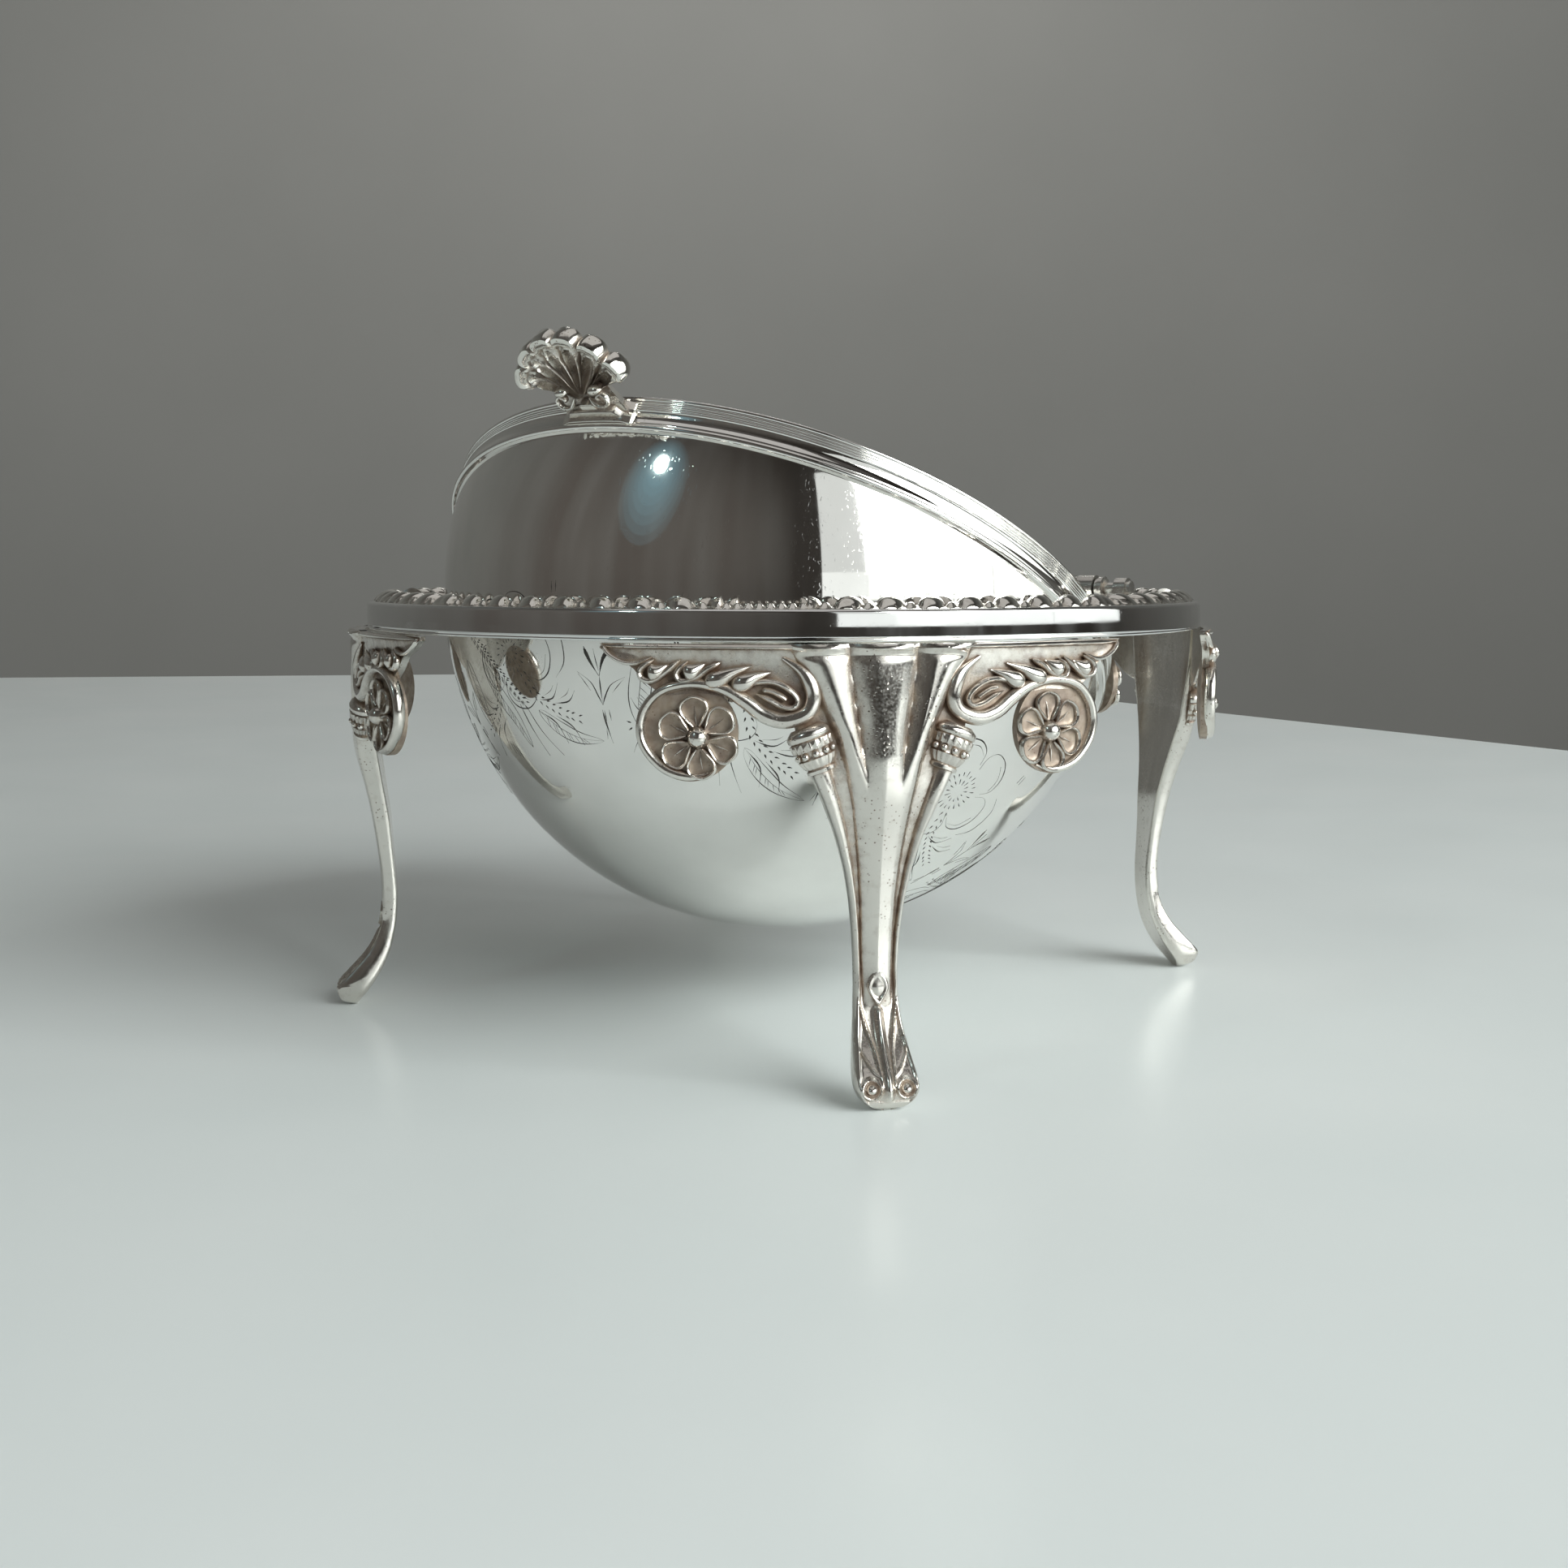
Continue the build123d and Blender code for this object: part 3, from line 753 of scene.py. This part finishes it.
def foot_relief(t, z):
    """The foot's front: shield, keel, two hollow leaves with fine edges, and scroll eyes."""
    t = abs(t)
    half = table(LEG_HALF_WIDTH, z)
    keel = 0.85 * line(t, 0.62) * ease((z - 1.0) / 1.5) * ease((15 - z) / 2)
    rim = 0.5 * line(t - half + 0.55, 0.35)
    toe = 0.35 * ease((2.1 - z) / 0.9)
    leaf_edge = 0.55 * line(t - table(FOOT_LEAF, z), 0.24) * ease((z - 3) / 1.5) * ease((15.5 - z) / 1.5)
    curl = 0.45 * line(z - table(FOOT_CURL, t), 0.3) * ease((t - 0.6) / 0.5)
    eye = hypot(t - SCROLL_EYE[0], z - SCROLL_EYE[1])
    scroll = 0.6 * line(eye - 1.3, 0.26) + 0.85 * clamp(1 - (eye / 0.75) ** 2) ** 0.5
    level = (z - SHIELD_MIDDLE) / SHIELD_HALF[1]
    narrowing = 1 + 0.75 * clamp(level, -1, 0)
    shield = hypot(t / (SHIELD_HALF[0] * narrowing), level)
    face = ease((1 - shield) * 4) - 0.3 * ease((0.62 - shield) * 6)
    return max(keel, rim, toe, leaf_edge, curl, scroll, face)


def shank():
    """Foot, shank and the three-lobed fan under the ring, with a flat back."""
    levels, across = 300, 96
    front, back = [], []
    for i in range(levels + 1):
        z = LEG_TOP * (1 - i / levels) ** 1.35
        half = smooth_table(LEG_HALF_WIDTH, z, 1.0 if z > 4 else 0.2)
        outer = smooth_table(LEG_FRONT, z, 1.5 if z > 6 else 0.3)
        inner = smooth_table(LEG_BACK, z, 1.5)
        depth = table(CARVING_DEPTH, z)
        lip = 0.5 * line(z - LEG_TOP + 0.55, 0.4) - 0.25 * line(z - LEG_TOP + 1.6, 0.5)
        row_front, row_back = [], []
        for j in range(across + 1):
            t = half * (2 * j / across - 1)
            relief = shank_relief(t, z) * ease((z - 13) / 4)
            if z < 20:
                relief = max(relief, foot_relief(t, z))
            crest = outer - depth * (1 - relief) + lip * relief
            edge = clamp((1 - abs(t) / half) * half / 0.9)
            rounding = sqrt(1 - (1 - edge) ** 2)
            middle = mix(inner, outer - depth, 0.45)
            row_front.append(cylinder_point(mix(middle, crest, rounding), t, z))
            row_back.append(cylinder_point(mix(middle, inner, rounding ** 0.7), t, z))
        front.append(row_front)
        back.append(row_back)
    return Shape().slab(front, back)


def sweep(path, width, height, sides=10, place=on_wall):
    """A tapered bar with an oval section along a path of (s, z, h); width and height are functions
    of the share of the way along, giving half the section's size."""
    rings = []
    for i, (s, z, h) in enumerate(path):
        side = left_of(path, i)
        share = i / (len(path) - 1)
        w, up = width(share), height(share)
        ring = []
        for k in range(sides):
            turn = 2 * pi * k / sides
            reach = w * cos(turn)
            ring.append(place(s + side[0] * reach, z + side[1] * reach, h + up * sin(turn)))
        rings.append(ring)
    return Shape().tube(rings)


def even(size, taper=0.12, least=0.25):
    """A size that is constant but narrows at both ends."""
    return lambda share: size * mix(least, 1, ease(min(share, 1 - share) / taper))


def drop(size, head=0.3):
    """A size that swells quickly to a head and tapers away, as in a leaf."""
    return lambda share: size * max(0.12, sin(pi * share ** (log(0.5) / log(head))))


SCROLL = (
    (14.6, 65.6, 0.3), (11.6, 63.4, 0.5), (10.3, 60.4, 0.6), (11.2, 57.8, 0.6), (14.3, 56.7, 0.6),
    (17.3, 57.5, 0.5), (19.6, 59.2, 0.5), (22.1, 60.8, 0.5), (24.8, 61.7, 0.5), (28.2, 61.9, 0.5),
    (31.9, 60.9, 0.6), (34.4, 58.4, 0.6), (35.2, 55.3, 0.6), (34.3, 52.3, 0.6), (31.4, 49.5, 0.6),
    (27.6, 48.5, 0.5), (24.4, 49.3, 0.4),
)
TIP_RIM = ((41.2, 67.3, 0.1), (40.1, 66.0, 0.4), (37.9, 64.9, 0.5), (35.6, 64.8, 0.5), (33.6, 65.6, 0.3))
LEAF_LOOPS = (
    ((33.2, 65.3, 0.5), (35.0, 64.0, 0.7), (34.9, 62.7, 0.8), (33.3, 62.3, 0.8), (31.4, 63.5, 0.7),
     (29.3, 65.3, 0.4)),
    ((28.2, 65.1, 0.4), (29.7, 63.5, 0.7), (29.0, 62.3, 0.8), (27.0, 62.8, 0.8), (25.3, 64.0, 0.7),
     (23.4, 65.0, 0.4)),
)
LEAF_DROPS = (
    ((33.9, 63.4, 0.8), (32.6, 63.6, 0.9), (31.0, 64.6, 0.6)),
    ((28.6, 63.2, 0.8), (27.2, 63.8, 0.9), (25.6, 64.8, 0.6)),
    ((25.8, 62.3, 0.6), (24.0, 62.5, 0.9), (21.8, 63.5, 0.8), (19.0, 64.5, 0.4)),
    ((21.9, 61.8, 0.6), (20.2, 62.1, 0.9), (18.5, 62.9, 0.8), (16.3, 63.6, 0.4)),
)
INNER_CURLS = (
    ((20.4, 61.5, 0.5), (18.2, 62.2, 0.7), (15.8, 62.2, 0.8), (13.6, 61.1, 0.9), (12.5, 59.7, 0.9),
     (13.1, 58.6, 0.9), (14.8, 58.8, 0.8), (16.6, 59.8, 0.8), (18.4, 60.5, 0.6)),
    ((17.6, 61.1, 0.6), (16.1, 60.9, 0.7), (14.6, 60.1, 0.7), (14.1, 59.6, 0.6)),
)
WING_EDGE = (
    (9.6, 60.5), (10.3, 58.0), (12, 56.6), (14.4, 56.2), (17.3, 57.0), (19.6, 58.6), (22, 60.0),
    (26, 60.6), (32, 60.2), (34.8, 62.2), (36.5, 64.2), (39.8, 65.6), (41.6, 67.0),
)
WING_BACK = -0.9
FIELD = (28.1, 54.9)
FIELD_RADIUS = 7.1
ROSETTE = (26.7, 54.2)
PETALS = 6
# Half a petal's outline: radius from the rosette's middle, degrees off the petal's.
PETAL_EDGE = [(1.7, -14), (2.9, -24), (4.3, -26.5), (5.4, -18), (5.9, 0)]
# A petal's dish from its edge inwards: share of its outline, height.
PETAL_DISH = ((1.0, 0.2), (1.0, 0.62), (0.8, 0.45), (0.55, 0.38), (0.25, 0.42), (0.02, 0.45))
ROSETTE_BALL = ((1.75, 0.2), (1.75, 0.55), (1.5, 1.05), (1.42, 1.3), (1.15, 1.85), (0.7, 2.2), (0.05, 2.35))


def wing_wall(side):
    """The strip of plain wall under the skirt, hollowed a little between its edges."""
    columns, rows, lip = 60, 8, 0.35
    front, back = [], []
    for i in range(columns + 1):
        s = mix(WING_EDGE[0][0], WING_EDGE[-1][0], i / columns)
        low = smooth_table(WING_EDGE, s, 0.5)
        levels = [(mix(low, LEG_TOP, j / rows), lip * sin(pi * j / rows)) for j in range(rows + 1)]
        front.append([on_wall(side * s, z, lip - cup) for z, cup in levels])
        back.append([on_wall(side * s, z, WING_BACK) for z, _ in levels])
    return Shape().slab(front, back)


def rosette_field(side):
    """The round field that the rosette lies on."""
    spokes, depth, lift = 48, 12, 0.25
    rows = []
    for i in range(spokes + 1):
        turn = 2 * pi * i / spokes
        spoke = [polar(FIELD_RADIUS * j / depth, turn) for j in range(depth + 1)]
        rows.append([on_wall(side * (FIELD[0] + s), FIELD[1] + z, h)
                     for h, way in ((lift, 1), (WING_BACK, -1)) for s, z in spoke[::way]])
    return Shape().grid(rows)


def rosette(side, ground):
    """Petals with raised outlines round a ball; their dished faces are added to the ground."""
    shape = Shape()

    def at(radius, angle, h):
        turn = radians(angle)
        return (side * (ROSETTE[0] + radius * cos(turn)), ROSETTE[1] + radius * sin(turn), h)

    for i in range(PETALS):
        heading = 90 + 7 * side + 360 / PETALS * i
        outline = PETAL_EDGE + [(r, -a) for r, a in reversed(PETAL_EDGE[:-1])]
        path = curve_through([at(r, heading + a, 0.85) for r, a in outline], 5)
        shape.add(sweep(path, even(0.28, 0.1, 0.5), even(0.5, 0.1, 0.5), 8))
        middle = at(3.7, heading, 0)
        rings = []
        for share, h in PETAL_DISH:
            rings.append([on_wall(mix(middle[0], s, share), mix(middle[1], z, share), h) for s, z, _ in path])
        ground.tube(rings)
        shape.add(sweep([at(1.9, heading, 0.5), at(3.2, heading, 0.6), at(4.6, heading, 0.4)],
                        even(0.16), even(0.16), 6))
    rings = []
    for radius, h in ROSETTE_BALL:
        rings.append([on_wall(*at(radius, 15 * k, h)) for k in range(24)])
    return shape.tube(rings)


COLLAR_FOOT = (8.9, 49.3)
COLLAR_HEAD = (11.5, 55.9)
# (run from the collar's foot, radius, 1 where it is reeded)
COLLAR_OUTLINE = (
    (0, 1.7, 0), (0.15, 2.15, 0), (0.6, 2.2, 0), (0.8, 1.9, 0), (1.0, 2.1, 1), (1.7, 2.5, 1),
    (2.3, 2.75, 1), (2.5, 2.45, 0), (3.5, 2.6, 0), (3.7, 2.95, 1), (4.9, 3.1, 1), (5.1, 2.8, 0),
    (5.3, 3.15, 0), (5.9, 3.25, 0), (6.3, 3.0, 0), (6.9, 2.2, 0),
)
COLLAR_REEDS = 18
COLLAR_BEADS = 5
COLLAR_BEAD_RUN = 3.0


def collar(side):
    """The bound collar at the head of a strand: rings, reeding and a row of beads."""
    length = dist(COLLAR_FOOT, COLLAR_HEAD)
    along = tuple((head - foot) / length for foot, head in zip(COLLAR_FOOT, COLLAR_HEAD))
    across = (along[1], -along[0])

    def at(run, offset, h):
        s = COLLAR_FOOT[0] + along[0] * run + across[0] * offset
        return on_wall(side * s, COLLAR_FOOT[1] + along[1] * run + across[1] * offset, h)

    count = 4 * COLLAR_REEDS
    flatness, sunk = 0.72, -0.6
    rings = []
    for run, radius, reeded in COLLAR_OUTLINE:
        ring = []
        for k in range(count):
            turn = 2 * pi * k / count
            size = radius * (1 + 0.045 * reeded * cos(COLLAR_REEDS * turn))
            ring.append(at(run, size * cos(turn), max(flatness * size * sin(turn), sunk)))
        rings.append(ring)
    shape = Shape().tube(rings)
    for k in range(COLLAR_BEADS):
        turn = radians(22 + 34 * k)
        shape.add(ball(at(COLLAR_BEAD_RUN, 2.75 * cos(turn), 1.95 * sin(turn)), 0.52))
    return shape


def ball(centre, radius, steps=8):
    """A small ball, with a tiny flat at each pole."""
    x, y, z = centre
    rings = []
    for i in range(steps + 1):
        lift = pi * (i / steps - 0.5)
        reach = max(radius * cos(lift), 0.002)
        ring = []
        for k in range(2 * steps):
            turn = pi * k / steps
            ring.append((x + reach * cos(turn), y + reach * sin(turn), z + radius * sin(lift)))
        rings.append(ring)
    return Shape().tube(rings)


def scroll_width(share):
    """Half the width of the wing's scroll, broader along its first third."""
    return mix(1.15, 0.7, ease((share - 0.3) / 0.3)) * even(1, 0.1)(share)


def wing(side):
    """One S-scroll wing: wall, scroll, leaves, curls, rosette and the collar beside it, with the
    rosette's ground as a second shape."""
    shape, ground = wing_wall(side), rosette_field(side)
    top_rim = [(s, LEG_TOP - 0.45, 0.3) for s in range(10, 42)]
    bars = [(curve_through(SCROLL, 7), scroll_width, even(1.0, 0.1), 12)]
    bars += [(curve_through(TIP_RIM, 6), even(0.34), even(0.5), 8)]
    bars += [(top_rim, even(0.42), even(0.6), 8)]
    bars += [(curve_through(loop, 6), even(0.48), even(0.65), 8) for loop in LEAF_LOOPS]
    bars += [(curve_through(leaf, 8), drop(1.25), drop(1.15), 10) for leaf in LEAF_DROPS]
    bars += [(curve_through(curl, 6), even(0.42), even(0.6), 8) for curl in INNER_CURLS]
    for path, width, height, sides in bars:
        shape.add(sweep([(side * s, z, h) for s, z, h in path], width, height, sides))
    shape.add(rosette(side, ground)).add(collar(side))
    return shape, ground


def build_legs():
    casting, ground = shank(), Shape()
    for side in (1, -1):
        relief, field = wing(side)
        casting.add(relief)
        ground.add(field)
    for node, azimuth in LEG_AZIMUTHS.items():
        place = Matrix.Rotation(radians(azimuth), 4, "Z")
        make(node + "_cast", casting, CAST, "stand", place, sharp=50, replaces=(node,))
        make(node + "_ground", ground, AGED, "stand", place, sharp=50)


# --- thumb-piece, drawn with the cover closed: x along the rim, y outward, z up ---

THUMB_SHIFT = 2.5
THUMB_SEAT = BAND_RADIUS
THUMB_MIDDLE = RIM_RISE + BAND_WIDTH / 2
SHELL_LEAN = 21
SHELL_LOBES = 6
SHELL_SWEEP = 146
SHELL_RADIUS = 11.6


def on_shell(x, y, z):
    """A place in the shell's own plane: y away from the rim, z out of its ribbed face."""
    lean = radians(SHELL_LEAN)
    return (THUMB_SHIFT + x,
            THUMB_SEAT + 2.0 + y * cos(lean) + z * sin(lean),
            THUMB_MIDDLE - 0.4 - y * sin(lean) + z * cos(lean))


def shell_fan():
    """Six hollow flutes that meet at a hub, with a rolled edge round every lobe."""
    lobe_sweep = SHELL_SWEEP / SHELL_LOBES
    hub_y, steps, depth = 1.6, 20, 30
    front, back = [], []
    for i in range(SHELL_LOBES * steps + 1):
        angle = -SHELL_SWEEP / 2 + lobe_sweep * i / steps
        across = 2 * ((i / steps) % 1) - 1
        if i % steps == 0:
            across = 1.0
        turn = radians(angle)
        reach = SHELL_RADIUS - 1.1 * abs(across) ** 3.5 + 0.4 * cos(turn)
        row_front, row_back = [], []
        for j in range(depth + 1):
            share = j / depth
            r = mix(1.0, reach, share)
            outline = hypot(across / 0.72, max(0, share - 0.48) / 0.29)
            ridge = 0.5 * line(outline - 1, 0.17)
            hollow = -1.1 * clamp(1 - outline ** 2) * ease(share / 0.35)
            notch = -0.55 * ease((abs(across) - 0.8) / 0.2) * ease(share / 0.3)
            roll = 0.8 * sqrt(clamp(1 - ((share - 0.9) / 0.1) ** 2))
            cup = 1.4 * share ** 2
            z = 0.9 + 0.35 * (1 - share) + cup + ridge + hollow + notch + roll
            if j == depth:
                z -= 0.4
            x, y = r * sin(turn), hub_y + r * cos(turn)
            row_front.append(on_shell(x, y, z))
            swell = 0.5 * (1 - across ** 2) * ease(share)
            low = -0.9 + cup * 0.8 - swell + (0.4 if j == depth else 0)
            row_back.append(on_shell(x, y, low))
        front.append(row_front)
        back.append(row_back)
    return Shape().slab(front, back)


def shell_scroll(side):
    """A small open scroll beside the hub, curling outward, with an oval boss above it."""
    path = [(side * 1.5, 1.9), (side * 2.7, 0.5), (side * 4.3, 0.5), (side * 4.9, 1.7), (side * 4.1, 2.5),
            (side * 3.2, 2.0), (side * 3.6, 1.3)]
    points = curve_through([(x, y, 1.7) for x, y in path], 6)
    shape = sweep(points, even(0.36), even(0.6), 10, place=on_shell)
    rings = []
    middle, half_x, half_y, count = 3.3, 1.25, 0.75, 24
    for size, lift in ((1.0, 0.8), (1.0, 1.8), (0.85, 2.4), (0.5, 2.75), (0.02, 2.85)):
        ring = []
        for k in range(count):
            turn = 2 * pi * k / count
            x = side * middle + half_x * size * cos(turn)
            ring.append(on_shell(x, middle + half_y * size * sin(turn), lift))
        rings.append(ring)
    return shape.tube(rings)


# Each step's half length, its lower and upper edge, and how far it stands out of the band.
THUMB_STEPS = ((6.6, -1.8, 2.1, 0.7), (5.4, -1.1, 1.4, 1.9))
TAB_CORNERS = ((-1.4, -0.7), (1.4, -0.7), (1.4, 0.7), (-1.4, 0.7))


def thumb_foot():
    """Two thin steps that follow the band, lower at their ends, and a small tab on the outer one."""
    shape = Shape()
    corner, sunk, count = 0.25, 0.6, 24
    for half, low, high, reach in THUMB_STEPS:
        rings = []
        for i in range(count + 1):
            x = THUMB_SHIFT + half * (2 * i / count - 1)
            seat = sqrt(THUMB_SEAT ** 2 - x ** 2)
            crest = seat + reach * mix(0.3, 1, ease(min(i, count - i) / 3))
            outline = [(seat - sunk, low), (crest - corner, low), (crest, low + corner),
                       (crest, high - corner), (crest - corner, high), (seat - sunk, high)]
            rings.append([(x, y, THUMB_MIDDLE + z) for y, z in outline])
        shape.tube(rings)
    rings = []
    for size, lift in ((1.0, 1.8), (1.0, 2.9), (0.85, 3.1)):
        rings.append([(THUMB_SHIFT + x * size, THUMB_SEAT + lift, THUMB_MIDDLE + 0.3 + z * size)
                      for x, z in TAB_CORNERS])
    return shape.tube(rings)


def thumb_strut():
    """The faceted prop behind the shell, down to the rim on the open side."""
    steps, top = 8, 0.1
    rings = []
    for i in range(steps + 1):
        share = i / steps
        half = mix(6.2, 3.4, share)
        y = mix(-1.8, 6.4, share)
        low = mix(-2.6, -1.1, share ** 0.8)
        section = ((-half, top), (-half * 0.7, low), (half * 0.7, low), (half, top))
        rings.append([on_shell(x, y, z) for x, z in section])
    return Shape().tube(rings)


def build_thumb_piece():
    casting = thumb_foot().add(shell_fan()).add(thumb_strut())
    casting.add(shell_scroll(1)).add(shell_scroll(-1))
    make("thumb_piece_cast", casting, THUMB_SILVER, "cover", COVER_PLACE, sharp=45,
         replaces=("thumb_piece",))


# --- pivots ---

HARDWARE = ("pivot_", "outer_washer", "inner_washer", "bowl_", "lid_boss", "thumb_rivets")


def finish_hardware():
    """The small turned and cut pieces keep their own shape and get a duller, used finish."""
    for name, piece in frame["nodes"].items():
        if name.startswith(HARDWARE):
            piece.data.materials.clear()
            piece.data.materials.append(PIN_SILVER)


# --- stage: table, wall, window and lamp; the camera stands in front, to the right ---

def around(turn, distance, height):
    """A place round the object: turn in degrees to the camera's right, seen from the object."""
    return Vector((*polar(distance, radians(CAMERA_AZIMUTH + turn)), height))


def stage_mesh(name, points, faces, material):
    """Makes one piece of the stage from points in metres."""
    mesh = bpy.data.meshes.new(name)
    mesh.from_pydata([tuple(p) for p in points], [], faces)
    mesh.materials.append(material)
    piece = new_object(name, mesh)
    return piece


def build_table():
    """A wide glossy top whose far corner lies behind the object."""
    top = [(-1.75, -0.262), (-0.504, 0.813), (0.95, 0.057)]
    for turn, distance in ((62, 0.72), (30, 0.50), (0, 0.47), (-40, 0.78), (-75, 1.2)):
        top.append(around(turn, distance, 0)[:2])
    thickness = 0.04
    points = [(x, y, 0) for x, y in top] + [(x, y, -thickness) for x, y in top]
    count = len(top)
    faces = [tuple(reversed(range(count))), tuple(range(count, 2 * count))]
    faces += [(k, (k + 1) % count, (k + 1) % count + count, k + count) for k in range(count)]
    stage_mesh("table", points, faces, TABLE_TOP)


ROOM_RADIUS = 2.1


def build_room():
    """A round wall, grey behind the object and with painted shade, darker and browner, towards the room, and
    a floor below the table.
    """
    count, low, high = 96, -0.75, 3.0
    ring = [around(360 * k / count, ROOM_RADIUS, 0) for k in range(count)]
    points = [(p.x, p.y, low) for p in ring] + [(p.x, p.y, high) for p in ring]
    faces = [(k, (k + 1) % count, (k + 1) % count + count, k + count) for k in range(count)]
    wall = stage_mesh("wall", points, faces, WALL_PAINT_AND_SHADE)
    wall.data.shade_smooth()
    # The floor below takes the wall's grey paint and its painted shade.
    stage_mesh("floor_below", [(p.x, p.y, low) for p in ring], [tuple(range(count))], WALL_PAINT_AND_SHADE)


OBJECT_MIDDLE = Vector((0, 0, 0.07))


def light(name, place, width, height, power, colour, target=OBJECT_MIDDLE, shape="RECTANGLE"):
    """A flat light that faces its target, in metres and watts."""
    data = bpy.data.lights.new(name, "AREA")
    data.shape = shape
    data.size, data.size_y = width, height
    data.energy = power
    data.color = colour
    lamp = new_object(name, data)
    lamp.location = place
    lamp.rotation_euler = (target - place).to_track_quat("-Z", "Y").to_euler()


WINDOW_TINT = (0.955, 1.0, 0.985)
LAMP_TINT = (0.80, 1.0, 0.97)
GLOW_TINT = (0.35, 0.8, 1.0)
TOP_TINT = (1.0, 0.99, 0.97)
WASH_TINT = (1.0, 1.0, 0.98)
ROOM_DIM = (0.075, 0.07, 0.066, 1)
WINDOW_SILL = 0.066
WINDOW_RAIL = 0.31
WINDOW_HEAD = 1.41
# Each window's turn, distance and width, and its power below and above the rail.
WINDOWS = {
    "window_net": (20.5, 1.60, 0.41, 0.34, 1.1),
    "window": (50, 1.50, 1.22, 1.2, 42.0),
    "window_side": (84, 1.50, 0.63, 0.62, 4.0),
}
GLOW_STEPS = 7


def build_windows():
    """The window, a net at one side of it and a dimmer one at the other, each dim below its rail."""
    for name, (turn, distance, width, low_power, high_power) in WINDOWS.items():
        for part, bottom, top, power in (
            ("_low", WINDOW_SILL, WINDOW_RAIL, low_power),
            ("_high", WINDOW_RAIL, WINDOW_HEAD, high_power),
        ):
            level = Vector((0, 0, (bottom + top) / 2))
            place = around(turn, distance, level.z)
            light(name + part, place, width, top - bottom, power, WINDOW_TINT, level)


def build_lamp():
    """A small high lamp at the left and the faint blue glow round and below it."""
    lamp = around(-46, 0.9, 0.81)
    light("ceiling_lamp", lamp, 0.07, 0.10, 0.35, LAMP_TINT, shape="ELLIPSE")
    for step in range(GLOW_STEPS):
        size = 0.12 + 0.045 * step
        power = 0.15 * size ** 2
        below = lamp + Vector((0, 0, -0.5 * size))
        light("lamp_glow", below * (1 + 0.1 * size), size, size * 1.6, power, GLOW_TINT, shape="ELLIPSE")


def build_lights():
    """Windows at the right, a lamp on the left, light from above and a wash on the far wall."""
    build_windows()
    build_lamp()
    light("soft_top", Vector((0.0, 0.1, 1.75)), 1.6, 1.6, 3.4, TOP_TINT)
    far_wall = around(180, ROOM_RADIUS, 0.15)
    light("wall_wash", around(180, 1.3, 1.25), 0.6, 0.4, 6.0, WASH_TINT, far_wall)
    world = bpy.data.worlds.new("room")
    bpy.context.scene.world = world
    world.use_nodes = True
    background = world.node_tree.nodes["Background"].inputs
    background["Color"].default_value = ROOM_DIM
    background["Strength"].default_value = 1.0


def build_camera():
    data = bpy.data.cameras.new("camera")
    data.sensor_width = 36
    data.lens = 40.54
    data.clip_start = 0.01
    camera = new_object("camera", data)
    camera.location = CAMERA_PLACE
    camera.rotation_euler = (radians(90 - CAMERA_DIP), 0, radians(CAMERA_TURN))
    bpy.context.scene.camera = camera
    bpy.context.scene.view_settings.view_transform = "Standard"


build_ring()
build_bowl()
build_cover()
build_engraving()
build_thumb_piece()
build_legs()
finish_hardware()
build_table()
build_room()
build_lights()
build_camera()
